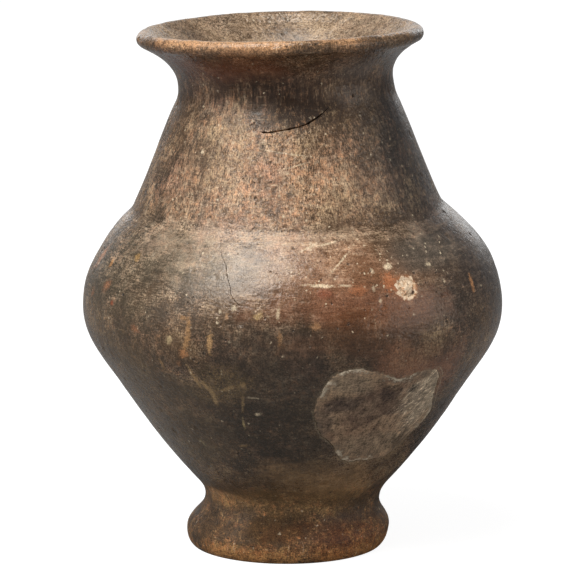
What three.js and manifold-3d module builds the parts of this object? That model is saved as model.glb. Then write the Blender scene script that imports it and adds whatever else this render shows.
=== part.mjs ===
// A hand-built biconical urn on a flared foot, in millimetres, +Z up, standing on z = 0.
// The clay pieces are those the potter joined: a foot ring, a floor slab, strips of clay laid ring on ring
// with slanted joints, and a coil round the lip. A later repair fills a hole through the wall, and a lump of
// lime from the clay sits in a spalled pit on the shoulder.
import * as THREE from "three";
import { mergeVertices } from "three/addons/utils/BufferGeometryUtils.js";
import Module from "manifold-3d";

const wasm = await Module();
wasm.setup();

// The outer wall, from the ground up. Each rise is measured from the station below it.
const FOOT_GROUND_RADIUS = 55.5; // where the foot leaves the ground
const FOOT_RADIUS = 59.6; // widest point of the foot
const FOOT_BULGE_RISE = 10.5;
const WAIST_RADIUS = 51.6; // the hollow between the foot and the lower wall
const WAIST_RISE = 17;
const BELLY_RADIUS = 122;
const BELLY_RISE = 115.5; // waist to belly
const CREASE_RADIUS = 90.5; // where the shoulder meets the neck
const CREASE_RISE = 58;
const THROAT_RADIUS = 62.7; // narrowest point of the neck
const THROAT_RISE = 74.5;
const RIM_RADIUS = 83.4; // outside of the lip
const RIM_RISE = 26; // throat to the middle of the lip

// How the wall bends between those stations. Slopes are in degrees from upright, outwards as it rises.
const FOOT_EDGE_SLOPE = 50; // the worn edge at the ground
const WAIST_BEND = 5.8; // how far out from the waist the straight lower wall starts
const WAIST_BEND_RISE = 12.7;
const LOWER_WALL_SLOPE = 43; // at its start
const BELLY_BEND = 20.4; // how far in from the belly the straight lower wall ends
const BELLY_BEND_DROP = 43.7;
const BELLY_SLOPE = 33.3; // at that end
const SHOULDER_SLOPE = -48; // where the shoulder reaches the crease
const CREASE_SOFTNESS = 3; // how far each side of the crease its bend starts
const NECK_SLOPE = -24.5;
const THROAT_BEND = 2; // how far out from the throat the straight neck ends
const THROAT_BEND_DROP = 11.3;
const FLARE_SLOPE = 64; // under the lip

// Clay thicknesses, and the inside of the base.
const WALL = 7.6;
const LIP_THICKNESS = 9.4; // the rounded coil on the rim
const LIP_WRAP = 198; // degrees of its round that show
const FLOOR = 11;
const FLOOR_CORNER = 9; // how far in from the wall the floor's corner starts to curve up
const RECESS_RADIUS = 41; // the hollow under the foot, at the ground
const RECESS_TOP_RADIUS = 35;

// Where the pieces of clay meet, as distances along the wall.
const LOWER_STRIPS = 4;
const NECK_STRIPS = 2;
const SEAT_DROP = 6; // below the waist, where the slab sits on the foot ring
const SLAB_EDGE_RISE = 5; // above the waist, where the slab's turned-up edge ends
const BELLY_STRIP_REACH = 24; // each side of the belly
const FLARE_START_DROP = 13; // below the throat, where the rim's strip starts
const LIP_JOINT_DROP = 4; // below the lip's round
const JOINT_SLANT = 5; // how far down the wall a joint runs, from outside to inside
const SLIP_FILM = 0.3; // the clearance between two pieces of clay

// What shows that it is hand-built: the axis wanders sideways, and the mouth isn't level.
const FOOT_SHIFT = -3.3; // relative to the belly
const WAIST_SHIFT = 0.9;
const NECK_SHIFT = -3.3;
const RIM_SHIFT = -7.3;
const SIDE_TILT = 0.024; // rise per millimetre to the right, from the crease up
const MOUTH_TILT = -0.04; // rise per millimetre to the back, at the rim
const MOUTH_WARP = 0.7; // how far the rim's front and back rise, and its sides sink
const OVALITY = 0.006; // how much wider than the mean the belly is from side to side

// The repair fill through the lower wall: its middle, and its outline on the flattened wall as across, up.
const FILL_TURN = -58.8; // degrees round the axis from the right-hand side
const FILL_DROP = 53.8; // down the wall from the belly
const FILL_OUTLINE = [
  [-34, 35], [-23, 38.5], [-7, 32], [2, 28], [12, 31.5], [26, 29], [33, 11], [42, -8], [35, -20],
  [22, -37], [0, -38.5], [-18, -36.5], [-27, -25], [-39, -9], [-42.5, 6], [-40, 22],
];
const FILL_CLEARANCE = 0.35;

// The spalled pit on the shoulder, and the lump of lime in it.
const PIT_TURN = -56; // degrees round the axis
const PIT_RISE = 28.7; // up the wall from the belly
const PIT_RADIUS = 7.2;
const PIT_DEPTH = 1.8;
const LUMP_RADIUS = 4.6;
const LUMP_THICKNESS = 4.4;
const LUMP_SINK = 2.6; // how far its middle lies under the wall's surface
const LUMP_CLEARANCE = 0.3;

// Fineness of the faceting.
const FACETS_ROUND = 48;
const BEND_PER_FACET = 10; // degrees
const FILL_FACETS = 34;
const FILL_RINGS = 3;
const LUMP_FACETS = 16;
const OUTLINE_SAMPLES = 24; // per span between stations
const BEZIER_REACH = 0.36; // handle length as a share of its span's chord
const CUTTER_OVERSHOOT = 3; // how far a cutter runs past the clay

const COLOURS = {
  foot: 0x5a4230, lower: 0x443a31, shoulder: 0x5f4f40, neck: 0x6a5642, rim: 0x7d5a3c,
  fill: 0x6b5d4c, lime: 0xc9b391,
};

const radians = THREE.MathUtils.degToRad;
const evenly = (from, to, steps) => Array.from({ length: steps + 1 }, (_, k) => from + ((to - from) * k) / steps);

const waistHeight = FOOT_BULGE_RISE + WAIST_RISE;
const bellyHeight = waistHeight + BELLY_RISE;
const creaseHeight = bellyHeight + CREASE_RISE;
const throatHeight = creaseHeight + THROAT_RISE;
const rimHeight = throatHeight + RIM_RISE;
const floorTop = waistHeight;
const recessTop = floorTop - FLOOR;
const lipRound = LIP_THICKNESS / 2;
const lipCentre = new THREE.Vector2(RIM_RADIUS - lipRound, rimHeight);

// A place a given way along a slope from another, as radius, height and slope.
function stepped(radius, height, slope, way) {
  return [radius + way * Math.sin(radians(slope)), height + way * Math.cos(radians(slope)), slope];
}

// The point of the lip's round that faces a given angle above level.
function onLip(angle) {
  return new THREE.Vector2(lipCentre.x + lipRound * Math.cos(angle), lipCentre.y + lipRound * Math.sin(angle));
}

// The stations of the wall by name, as radius, height and slope.
function wallStations() {
  return [
    ["ground", FOOT_GROUND_RADIUS, 0, FOOT_EDGE_SLOPE],
    ["foot", FOOT_RADIUS, FOOT_BULGE_RISE, 0],
    ["waist", WAIST_RADIUS, waistHeight, 0],
    ["lowerStart", WAIST_RADIUS + WAIST_BEND, waistHeight + WAIST_BEND_RISE, LOWER_WALL_SLOPE],
    ["lowerEnd", BELLY_RADIUS - BELLY_BEND, bellyHeight - BELLY_BEND_DROP, BELLY_SLOPE],
    ["belly", BELLY_RADIUS, bellyHeight, 0],
    ["shoulderEnd", ...stepped(CREASE_RADIUS, creaseHeight, SHOULDER_SLOPE, -CREASE_SOFTNESS)],
    ["neckStart", ...stepped(CREASE_RADIUS, creaseHeight, NECK_SLOPE, CREASE_SOFTNESS)],
    ["neckEnd", THROAT_RADIUS + THROAT_BEND, throatHeight - THROAT_BEND_DROP, NECK_SLOPE],
    ["throat", THROAT_RADIUS, throatHeight, 0],
    ["lip", ...onLip(-radians(FLARE_SLOPE)).toArray(), FLARE_SLOPE],
  ];
}

// One smooth line through the stations, with the distance travelled at each of its points.
function tracedWall() {
  const stations = wallStations();
  const points = [];
  const firstPoint = {};
  for (let i = 0; i + 1 < stations.length; i++) {
    const [name, r0, z0, slope0] = stations[i];
    const [, r1, z1, slope1] = stations[i + 1];
    const reach = BEZIER_REACH * Math.hypot(r1 - r0, z1 - z0);
    const [leaveR, leaveZ] = stepped(r0, z0, slope0, reach);
    const [arriveR, arriveZ] = stepped(r1, z1, slope1, -reach);
    const span = new THREE.CubicBezierCurve(
      new THREE.Vector2(r0, z0),
      new THREE.Vector2(leaveR, leaveZ),
      new THREE.Vector2(arriveR, arriveZ),
      new THREE.Vector2(r1, z1),
    );
    firstPoint[name] = points.length;
    points.push(...span.getPoints(OUTLINE_SAMPLES).slice(0, -1));
  }
  const [lastName, lastR, lastZ] = stations.at(-1);
  firstPoint[lastName] = points.length;
  points.push(new THREE.Vector2(lastR, lastZ));
  const travelled = [0];
  for (let i = 1; i < points.length; i++) {
    travelled.push(travelled[i - 1] + points[i].distanceTo(points[i - 1]));
  }
  const at = Object.fromEntries(Object.entries(firstPoint).map(([name, i]) => [name, travelled[i]]));
  return { points, travelled, at };
}

const wall = tracedWall();
const { at } = wall;

// The wall's outer point at a distance along it, with the direction out of the clay.
function outsideAt(distance) {
  const { points, travelled } = wall;
  const found = travelled.findIndex((t) => t >= distance);
  const i = Math.max(found < 0 ? travelled.length - 1 : found, 1);
  const share = (distance - travelled[i - 1]) / (travelled[i] - travelled[i - 1]);
  const along = points[i].clone().sub(points[i - 1]).normalize();
  return { point: points[i - 1].clone().lerp(points[i], share), outward: new THREE.Vector2(along.y, -along.x) };
}

// A point in the wall, at a depth in millimetres that is negative outside the clay.
function wallPoint(distance, depth) {
  const { point, outward } = outsideAt(distance);
  return point.addScaledVector(outward, -depth);
}

// Enough steps along a stretch of wall for its bend.
function stepsFor(from, to) {
  const ways = evenly(from, to, OUTLINE_SAMPLES).map((distance) => outsideAt(distance).outward.angle());
  const turns = ways.slice(1).map((angle, k) => {
    const turn = Math.abs(angle - ways[k]);
    return Math.min(turn, 2 * Math.PI - turn);
  });
  const bend = turns.reduce((sum, turn) => sum + turn, 0);
  return Math.max(1, Math.ceil(bend / radians(BEND_PER_FACET)));
}

function stretch(from, to, depth, steps) {
  return evenly(from, to, steps).map((distance) => wallPoint(distance, depth));
}

// Shares a stretch of wall out evenly among strips, each as its lower and its upper joint.
function strips(from, to, count) {
  const joints = evenly(from, to, count);
  return joints.slice(1).map((joint, k) => [joints[k], joint]);
}

const slabEdge = at.waist + SLAB_EDGE_RISE;
const bellyLow = at.belly - BELLY_STRIP_REACH;
const bellyHigh = at.belly + BELLY_STRIP_REACH;
const flareStart = at.throat - FLARE_START_DROP;
const lipJoint = at.lip - LIP_JOINT_DROP;

// A joint reaches higher on the outside than on the inside.
const outerEnd = (joint) => joint + JOINT_SLANT / 2;
const innerEnd = (joint) => joint - JOINT_SLANT / 2;

// A strip's section: up the outside, across the upper joint, down the inside and across the lower joint.
function stripSection([lower, upper]) {
  const from = lower + SLIP_FILM / 2;
  const to = upper - SLIP_FILM / 2;
  const steps = stepsFor(from, to);
  return [
    ...stretch(outerEnd(from), outerEnd(to), 0, steps),
    ...stretch(innerEnd(to), innerEnd(from), WALL, steps),
  ];
}

// The foot ring stands on the ground and carries the slab on its slanted top.
function footRingSection() {
  const seat = at.waist - SEAT_DROP - SLIP_FILM / 2;
  const recess = new THREE.QuadraticBezierCurve(
    new THREE.Vector2(RECESS_TOP_RADIUS, recessTop - SLIP_FILM / 2),
    new THREE.Vector2(RECESS_RADIUS, recessTop / 2),
    new THREE.Vector2(RECESS_RADIUS, 0),
  );
  return [...stretch(0, seat, 0, stepsFor(0, seat)), ...recess.getPoints(3)];
}

// The floor slab spans the hollow foot, and its edge turns up to start the wall.
function floorSlabSection() {
  const seat = at.waist - SEAT_DROP + SLIP_FILM / 2;
  const edge = slabEdge - SLIP_FILM / 2;
  const underside = recessTop + SLIP_FILM / 2;
  const innerWaist = WAIST_RADIUS - WALL;
  const corner = new THREE.QuadraticBezierCurve(
    wallPoint(innerEnd(edge), WALL),
    new THREE.Vector2(innerWaist, floorTop),
    new THREE.Vector2(innerWaist - FLOOR_CORNER, floorTop),
  );
  return [
    new THREE.Vector2(0, underside),
    new THREE.Vector2(RECESS_TOP_RADIUS, underside),
    ...stretch(seat, outerEnd(edge), 0, stepsFor(seat, edge)),
    ...corner.getPoints(3),
    new THREE.Vector2(0, floorTop),
  ];
}

// The lip coil rounds off the end of the flared wall, and stands a little proud of its inside.
function lipCoilSection() {
  const joint = lipJoint + SLIP_FILM / 2;
  const first = -radians(FLARE_SLOPE);
  const steps = Math.ceil(LIP_WRAP / (2 * BEND_PER_FACET));
  const round = evenly(first, first + radians(LIP_WRAP), steps).map(onLip);
  return [wallPoint(outerEnd(joint), 0), ...round, wallPoint(innerEnd(joint), WALL)];
}

// Sweeps a section round the axis. A section off the axis is closed into a ring.
function turned(section) {
  const profile = section[0].x > 0 ? [...section, section[0]] : section;
  return new THREE.LatheGeometry(profile, FACETS_ROUND).rotateX(Math.PI / 2);
}

// A closed mesh as a solid that can be cut.
function solidOf(geometry) {
  const bare = geometry.clone();
  bare.deleteAttribute("normal");
  bare.deleteAttribute("uv");
  const merged = mergeVertices(bare);
  return new wasm.Manifold(new wasm.Mesh({
    numProp: 3,
    vertProperties: new Float32Array(merged.getAttribute("position").array),
    triVerts: new Uint32Array(merged.index.array),
  }));
}

function geometryOf(solid) {
  const { vertProperties, triVerts } = solid.getMesh();
  return new THREE.BufferGeometry()
    .setAttribute("position", new THREE.BufferAttribute(vertProperties, 3))
    .setIndex(new THREE.BufferAttribute(triVerts, 1));
}

function cut(geometry, ...cutters) {
  return geometryOf(cutters.reduce((solid, cutter) => solid.subtract(solidOf(cutter)), solidOf(geometry)));
}

// A place in the wall by its turn round the axis, its distance along the wall and its depth.
function placeInWall(turn, distance, depth) {
  const point = wallPoint(distance, depth);
  return new THREE.Vector3(point.x * Math.cos(turn), point.x * Math.sin(turn), point.y);
}

// A plug through the wall with the fill's outline, drawn in by a clearance, between two depths.
function fillPlug(clearance, outerDepth, innerDepth) {
  const middle = at.belly - FILL_DROP;
  const middleRadius = outsideAt(middle).point.x;
  const corners = FILL_OUTLINE.map(([across, up]) => new THREE.Vector3(across, up, 0));
  const edge = new THREE.CatmullRomCurve3(corners, true).getSpacedPoints(FILL_FACETS).slice(0, -1);
  const drawnIn = edge.map((p) => p.clone().setLength(p.length() - clearance));
  const positions = [];
  const addPoint = (across, up, depth) => {
    const turn = radians(FILL_TURN) + across / middleRadius;
    positions.push(...placeInWall(turn, middle + up, depth).toArray());
  };
  for (const depth of [outerDepth, innerDepth]) {
    addPoint(0, 0, depth);
    for (const share of evenly(0, 1, FILL_RINGS).slice(1)) {
      for (const p of drawnIn) addPoint(p.x * share, p.y * share, depth);
    }
  }
  return new THREE.BufferGeometry()
    .setAttribute("position", new THREE.Float32BufferAttribute(positions, 3))
    .setIndex(plugFaces(drawnIn.length));
}

// The plug's triangles: an outer face, an inner face and the band between. The outline runs clockwise.
function plugFaces(around) {
  const inner = 1 + FILL_RINGS * around;
  const faces = [];
  const quad = (a, b, c, d) => faces.push(a, b, c, a, c, d);
  for (let k = 0; k < around; k++) {
    const next = (k + 1) % around;
    faces.push(0, 1 + next, 1 + k);
    faces.push(inner, inner + 1 + k, inner + 1 + next);
    for (let ring = 1; ring < FILL_RINGS; ring++) {
      const near = 1 + (ring - 1) * around;
      const far = near + around;
      quad(near + k, near + next, far + next, far + k);
      quad(inner + near + next, inner + near + k, inner + far + k, inner + far + next);
    }
    const rim = 1 + (FILL_RINGS - 1) * around;
    quad(rim + k, rim + next, inner + rim + next, inner + rim + k);
  }
  return faces;
}

// Turns a shape made about +Y so that +Y points out of the wall at the pit, with its origin at a depth.
function placedAtPit(geometry, depth) {
  const distance = at.belly + PIT_RISE;
  const { outward } = outsideAt(distance);
  const turn = radians(PIT_TURN);
  const out = new THREE.Vector3(outward.x * Math.cos(turn), outward.x * Math.sin(turn), outward.y);
  geometry.applyQuaternion(new THREE.Quaternion().setFromUnitVectors(new THREE.Vector3(0, 1, 0), out));
  return geometry.translate(...placeInWall(turn, distance, depth).toArray());
}

// The pit is the dish that a ball leaves.
function pitCutter() {
  const ball = (PIT_RADIUS ** 2 + PIT_DEPTH ** 2) / (2 * PIT_DEPTH);
  const shape = new THREE.SphereGeometry(ball, LUMP_FACETS, 2 * LUMP_FACETS);
  return placedAtPit(shape, PIT_DEPTH - ball);
}

function limeShape(clearance) {
  const shape = new THREE.SphereGeometry(1, LUMP_FACETS, LUMP_FACETS / 2);
  const radius = LUMP_RADIUS + clearance;
  shape.scale(radius, LUMP_THICKNESS / 2 + clearance, radius);
  return placedAtPit(shape, LUMP_SINK);
}

// Moves a point of the true round shape to where the potter's hands left it.
function handBuilt({ x, y, z }) {
  const rising = (from, to) => THREE.MathUtils.smoothstep(z, from, to);
  const shift = FOOT_SHIFT
    + (WAIST_SHIFT - FOOT_SHIFT) * rising(0, waistHeight + WAIST_BEND_RISE)
    - WAIST_SHIFT * rising(waistHeight, bellyHeight)
    + NECK_SHIFT * rising(bellyHeight + CREASE_RISE / 2, creaseHeight)
    + (RIM_SHIFT - NECK_SHIFT) * rising(throatHeight - THROAT_BEND_DROP, rimHeight);
  const oval = OVALITY * rising(waistHeight, bellyHeight) * (1 - rising(bellyHeight, throatHeight));
  const warp = (MOUTH_WARP * (y * y - x * x)) / RIM_RADIUS ** 2;
  const lift = SIDE_TILT * x * rising(bellyHeight, creaseHeight)
    + (MOUTH_TILT * y + warp) * rising(creaseHeight, rimHeight);
  return [x * (1 + oval) + shift, y * (1 - oval), z + lift];
}

function reshaped(geometry) {
  const position = geometry.getAttribute("position").clone();
  const point = new THREE.Vector3();
  for (let i = 0; i < position.count; i++) {
    position.setXYZ(i, ...handBuilt(point.fromBufferAttribute(position, i)));
  }
  const moved = new THREE.BufferGeometry().setAttribute("position", position).setIndex(geometry.index);
  moved.computeVertexNormals();
  return moved;
}

const urn = new THREE.Group();
urn.name = "biconical_urn";

function addPiece(name, geometry, color, roughness) {
  const material = new THREE.MeshStandardMaterial({ color, roughness, metalness: 0 });
  const piece = new THREE.Mesh(reshaped(geometry), material);
  piece.name = name;
  urn.add(piece);
}

const hole = fillPlug(0, -CUTTER_OVERSHOOT, WALL + CUTTER_OVERSHOOT);
const limeSocket = limeShape(LUMP_CLEARANCE);
const pit = pitCutter();

addPiece("foot_ring", turned(footRingSection()), COLOURS.foot, 0.8);
addPiece("floor_slab", turned(floorSlabSection()), COLOURS.foot, 0.8);
strips(slabEdge, bellyLow, LOWER_STRIPS).forEach((strip, k) => {
  addPiece(`lower_wall_strip_${k + 1}`, cut(turned(stripSection(strip)), hole), COLOURS.lower, 0.6);
});
const bellyRing = turned(stripSection([bellyLow, bellyHigh]));
addPiece("belly_strip", cut(bellyRing, hole, pit, limeSocket), COLOURS.lower, 0.55);
const shoulderRing = turned(stripSection([bellyHigh, at.neckStart]));
addPiece("shoulder_strip", cut(shoulderRing, pit, limeSocket), COLOURS.shoulder, 0.55);
strips(at.neckStart, flareStart, NECK_STRIPS).forEach((strip, k) => {
  addPiece(`neck_strip_${k + 1}`, turned(stripSection(strip)), COLOURS.neck, 0.65);
});
addPiece("rim_flare_strip", turned(stripSection([flareStart, lipJoint])), COLOURS.neck, 0.65);
addPiece("lip_coil", turned(lipCoilSection()), COLOURS.rim, 0.55);
addPiece("repair_fill", fillPlug(FILL_CLEARANCE, 0, WALL), COLOURS.fill, 0.9);
addPiece("lime_lump", limeShape(0), COLOURS.lime, 0.9);

export default urn;
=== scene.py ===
# The finish of a hand-built biconical urn: its clay, its burnish, its old repair and the light round it.
import math

import bmesh
import bpy
from mathutils import Matrix, Vector, noise
from mathutils.geometry import interpolate_bezier


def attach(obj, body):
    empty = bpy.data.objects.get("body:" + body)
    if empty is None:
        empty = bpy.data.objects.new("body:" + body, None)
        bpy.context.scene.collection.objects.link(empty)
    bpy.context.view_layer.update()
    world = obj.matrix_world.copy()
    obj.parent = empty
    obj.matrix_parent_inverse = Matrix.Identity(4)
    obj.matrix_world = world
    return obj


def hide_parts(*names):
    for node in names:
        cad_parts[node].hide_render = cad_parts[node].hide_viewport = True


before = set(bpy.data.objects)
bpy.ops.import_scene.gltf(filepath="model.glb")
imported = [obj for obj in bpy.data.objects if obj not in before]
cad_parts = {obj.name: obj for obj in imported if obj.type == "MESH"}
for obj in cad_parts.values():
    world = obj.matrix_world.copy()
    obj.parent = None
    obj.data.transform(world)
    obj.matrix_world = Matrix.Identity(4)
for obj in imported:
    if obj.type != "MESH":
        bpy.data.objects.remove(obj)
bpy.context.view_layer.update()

# The outer wall, from the ground up, in metres. Each rise is measured from the station below it.
FOOT_GROUND_RADIUS = 0.0555
FOOT_RADIUS = 0.0596
FOOT_BULGE_RISE = 0.0105
WAIST_RADIUS = 0.0516
WAIST_RISE = 0.017
BELLY_RADIUS = 0.122
BELLY_RISE = 0.1155
CREASE_RADIUS = 0.0905
CREASE_RISE = 0.058
THROAT_RADIUS = 0.0627
THROAT_RISE = 0.0745
RIM_RADIUS = 0.0834
RIM_RISE = 0.026

# How the wall bends between the stations. Slopes are in degrees from upright, outwards as it rises.
FOOT_EDGE_SLOPE = 50
WAIST_BEND = 0.0058
WAIST_BEND_RISE = 0.0127
LOWER_WALL_SLOPE = 43
BELLY_BEND = 0.0204
BELLY_BEND_DROP = 0.0437
BELLY_SLOPE = 33.3
SHOULDER_SLOPE = -48
CREASE_SOFTNESS = 0.003
NECK_SLOPE = -24.5
THROAT_BEND = 0.002
THROAT_BEND_DROP = 0.0113
FLARE_SLOPE = 64
BEZIER_REACH = 0.36

# Clay thicknesses, the inside of the base, and the joints between the pieces of clay.
WALL = 0.0076
LIP_THICKNESS = 0.0094
LIP_WRAP = 198
FLOOR = 0.011
FLOOR_CORNER = 0.009
RECESS_RADIUS = 0.041
RECESS_TOP_RADIUS = 0.035
LOWER_STRIPS = 4
NECK_STRIPS = 2
SEAT_DROP = 0.006
SLAB_EDGE_RISE = 0.005
BELLY_STRIP_REACH = 0.024
FLARE_START_DROP = 0.013
LIP_JOINT_DROP = 0.004
JOINT_SLANT = 0.005

# What shows that it is hand-built.
FOOT_SHIFT = -0.0033
WAIST_SHIFT = 0.0009
NECK_SHIFT = -0.0033
RIM_SHIFT = -0.0073
SIDE_TILT = 0.024
MOUTH_TILT = -0.04
MOUTH_WARP = 0.0007
OVALITY = 0.006

# How uneven the worked surface is, each kind with the scale of its noise, and how far the surface lies
# inside the true one, so that nothing swells past it.
LUMPS = 0.0008
LUMPS_SCALE = 24.0
KNOCKS = 0.0003
KNOCKS_SCALE = 85.0
STROKES = 0.0003
UPRIGHT_STROKES_SCALE = 150.0
LEVEL_STROKES_SCALE = 210.0
LIP_NICKS = 0.0009
LIP_NICKS_SCALE = 110.0
PITS = 0.0004
PITS_SCALE = 150.0
PITS_START = (0.31, 0.17, 0.05)
SEATED = 0.00032

# The repair fill. Every turn is in degrees to the right of the front, and every climb is up the wall from
# the belly. The outline lies on the flattened wall, across and up from the fill's middle, in millimetres.
FILL_TURN = 31.2
FILL_CLIMB = -0.0538
FILL_OUTLINE = [
    (-34, 35), (-23, 38.5), (-7, 32), (2, 28), (12, 31.5), (26, 29), (33, 11), (42, -8), (35, -20),
    (22, -37), (0, -38.5), (-18, -36.5), (-27, -25), (-39, -9), (-42.5, 6), (-40, 22),
]
FILL_GAP = 0.0001
FILL_PROUD = 0.0003
FILL_LUMPS = 0.00022
FILL_SCRAPES = 0.0001
FILL_GOUGES = 0.0007
CUT_PAST = 0.004  # how far the hole's cutter reaches past both faces of the wall
FILL_STEPS = 22  # between two corners of its outline
FILL_RINGS = 46
FILL_SIDE_TOP = 0.002
FILL_BACK_ROUND = 0.0008
FILL_BACK_EDGE = 0.0005
SCRAPE_SLANT = -52  # of the blade's scrapes, in degrees from the fill's own across

# The spalled pit on the shoulder, and the lump of lime in it.
PIT_TURN = 34
PIT_CLIMB = 0.0287
PIT_RADIUS = 0.0072
PIT_DEPTH = 0.0018
LUMP_RADIUS = 0.0046
LUMP_THICKNESS = 0.0044
LUMP_SINK = 0.0026
LUMP_GAP = 0.00015

# Cracks, as turns and climbs along the way that they run.
RIM_CRACK = [(-13.4, 0.1262), (-9.5, 0.1256), (-4.0, 0.1264), (7.5, 0.1290), (15.8, 0.1337), (25.8, 0.1418)]
RIM_CRACK_WIDTH = 0.0014
RIM_CRACK_DEPTH = 0.0028
SHOULDER_CRACK = [
    (-22.5, 0.0589), (-22.0, 0.0537), (-20.2, 0.0478), (-19.2, 0.0394), (-18.0, 0.0335), (-17.3, 0.0283),
    (-14.8, 0.0231), (-11.5, 0.0209),
]
SHOULDER_CRACK_WIDTH = 0.0005
SHOULDER_CRACK_DEPTH = 0.0012
CRACK_STEPS = 12  # between two places of its way
CRACK_STAND_OFF = 0.0008  # of the cutter's open side, out from the wall

# How finely the surface is meshed.
STEPS_ROUND = 960
OUTSIDE_STEP = 0.00078
INSIDE_STEP = 0.002
CORNER_STEPS = 10  # round the recess and round the floor's corner
SEAM_STEP = 0.0002  # the first step beside a joint, which keeps the shading true to its edge
SPAN_SAMPLES = 48
MERGED_WITHIN = 0.000001
HARD_EDGE = 42  # degrees between two faces

MM = 0.001
waist_height = FOOT_BULGE_RISE + WAIST_RISE
belly_height = waist_height + BELLY_RISE
crease_height = belly_height + CREASE_RISE
throat_height = crease_height + THROAT_RISE
rim_height = throat_height + RIM_RISE
floor_top = waist_height
recess_top = floor_top - FLOOR
lip_round = LIP_THICKNESS / 2
lip_centre = (RIM_RADIUS - lip_round, rim_height)


# The outline of the wall

def stepped(radius, height, slope, way):
    """The place a given way along a slope from another, with that slope."""
    lean = math.radians(slope)
    return radius + way * math.sin(lean), height + way * math.cos(lean), slope


def lip_point(angle):
    return lip_centre[0] + lip_round * math.cos(angle), lip_centre[1] + lip_round * math.sin(angle)


def wall_stations():
    return {
        "ground": (FOOT_GROUND_RADIUS, 0.0, FOOT_EDGE_SLOPE),
        "foot": (FOOT_RADIUS, FOOT_BULGE_RISE, 0),
        "waist": (WAIST_RADIUS, waist_height, 0),
        "lower_start": (WAIST_RADIUS + WAIST_BEND, waist_height + WAIST_BEND_RISE, LOWER_WALL_SLOPE),
        "lower_end": (BELLY_RADIUS - BELLY_BEND, belly_height - BELLY_BEND_DROP, BELLY_SLOPE),
        "belly": (BELLY_RADIUS, belly_height, 0),
        "shoulder_end": stepped(CREASE_RADIUS, crease_height, SHOULDER_SLOPE, -CREASE_SOFTNESS),
        "neck_start": stepped(CREASE_RADIUS, crease_height, NECK_SLOPE, CREASE_SOFTNESS),
        "neck_end": (THROAT_RADIUS + THROAT_BEND, throat_height - THROAT_BEND_DROP, NECK_SLOPE),
        "throat": (THROAT_RADIUS, throat_height, 0),
        "lip": (*lip_point(-math.radians(FLARE_SLOPE)), FLARE_SLOPE),
    }


class Wall:
    """The outer line of the wall, read by the distance travelled along it from the ground."""

    def __init__(self, stations):
        self.points = []
        names = list(stations)
        starts = []
        for low, high in zip(names, names[1:]):
            starts.append(len(self.points))
            self.points += self.span(stations[low], stations[high])
        starts.append(len(self.points))
        self.points.append(Vector(stations[names[-1]][:2]))
        self.travelled = [0.0]
        for before, after in zip(self.points, self.points[1:]):
            self.travelled.append(self.travelled[-1] + (after - before).length)
        self.at = {name: self.travelled[start] for name, start in zip(names, starts)}

    @staticmethod
    def span(low, high):
        reach = BEZIER_REACH * math.hypot(high[0] - low[0], high[1] - low[1])
        leave = stepped(*low, reach)
        arrive = stepped(*high, -reach)
        handles = [Vector((*end[:2], 0)) for end in (low, leave, arrive, high)]
        return [point.to_2d() for point in interpolate_bezier(*handles, SPAN_SAMPLES + 1)[:-1]]

    def outside(self, distance):
        """The outer point at a distance, and the direction out of the clay."""
        high = next((i for i, t in enumerate(self.travelled) if t >= distance), len(self.travelled) - 1)
        high = max(high, 1)
        before, after = self.points[high - 1], self.points[high]
        share = (distance - self.travelled[high - 1]) / (self.travelled[high] - self.travelled[high - 1])
        along = (after - before).normalized()
        return before.lerp(after, share), Vector((along.y, -along.x))


wall = Wall(wall_stations())
at = wall.at


def round_place(turn, climb, depth):
    """A place in the wall of the true round shape, and the direction out of the clay there."""
    point, outward = wall.outside(at["belly"] + climb)
    point = point - outward * depth
    angle = math.radians(turn - 90)
    way = Vector((math.cos(angle), math.sin(angle), 0))
    return way * point.x + Vector((0, 0, point.y)), way * outward.x + Vector((0, 0, outward.y))


# Sections of the clay pieces. A section is a closed loop of (radius, height, outward, skin, inside), where
# outward is the way that the worked surface moves in, skin is how much of that movement it takes, and inside
# says whether the point lies on the inside of the urn.

def evenly(start, end, steps):
    return [start + (end - start) * k / steps for k in range(steps + 1)]


def closing_in(start, end, step):
    """Places from start to end, a step apart, with a short first and last step beside the joints."""
    way = 1 if end > start else -1
    inner = evenly(start + way * SEAM_STEP, end - way * SEAM_STEP, max(1, round(abs(end - start) / step)))
    return [start, *inner, end]


def outer_point(distance):
    point, outward = wall.outside(distance)
    return point.x, point.y, outward, 1.0, 0.0


def inner_point(distance):
    point, outward = wall.outside(distance)
    place = point - outward * WALL
    return place.x, place.y, -outward, 1.0, 1.0


def outer_face(start, end):
    return [outer_point(distance) for distance in closing_in(start, end, OUTSIDE_STEP)]


def inner_face(start, end):
    return [inner_point(distance) for distance in closing_in(start, end, INSIDE_STEP)]


def strip_section(lower, upper):
    half = JOINT_SLANT / 2
    return outer_face(lower + half, upper + half) + inner_face(upper - half, lower - half)


def plain_line(start, end, step):
    """A straight, unworked run of a section, without its last point."""
    start, end = Vector(start), Vector(end)
    steps = max(1, round((end - start).length / step))
    return [(*start.lerp(end, k / steps), Vector((0, 0)), 0.0, 1.0) for k in range(steps)]


def bent_line(start, pull, end, steps):
    """A bent, unworked run of a section from start to end, drawn towards pull."""
    start, pull, end = Vector(start), Vector(pull), Vector(end)
    line = []
    for t in evenly(0, 1, steps):
        place = start * (1 - t) ** 2 + pull * 2 * t * (1 - t) + end * t * t
        line.append((*place, Vector((0, 0)), 0.0, 1.0))
    return line


def foot_ring_section():
    seat = at["waist"] - SEAT_DROP
    bend = (RECESS_RADIUS, recess_top / 2)
    recess_foot = (RECESS_RADIUS, 0.0)
    recess = bent_line((RECESS_TOP_RADIUS, recess_top), bend, recess_foot, CORNER_STEPS)
    ground = plain_line(recess_foot, (FOOT_GROUND_RADIUS, 0.0), INSIDE_STEP)
    return outer_face(0.0, seat) + recess[:-1] + ground


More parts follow.
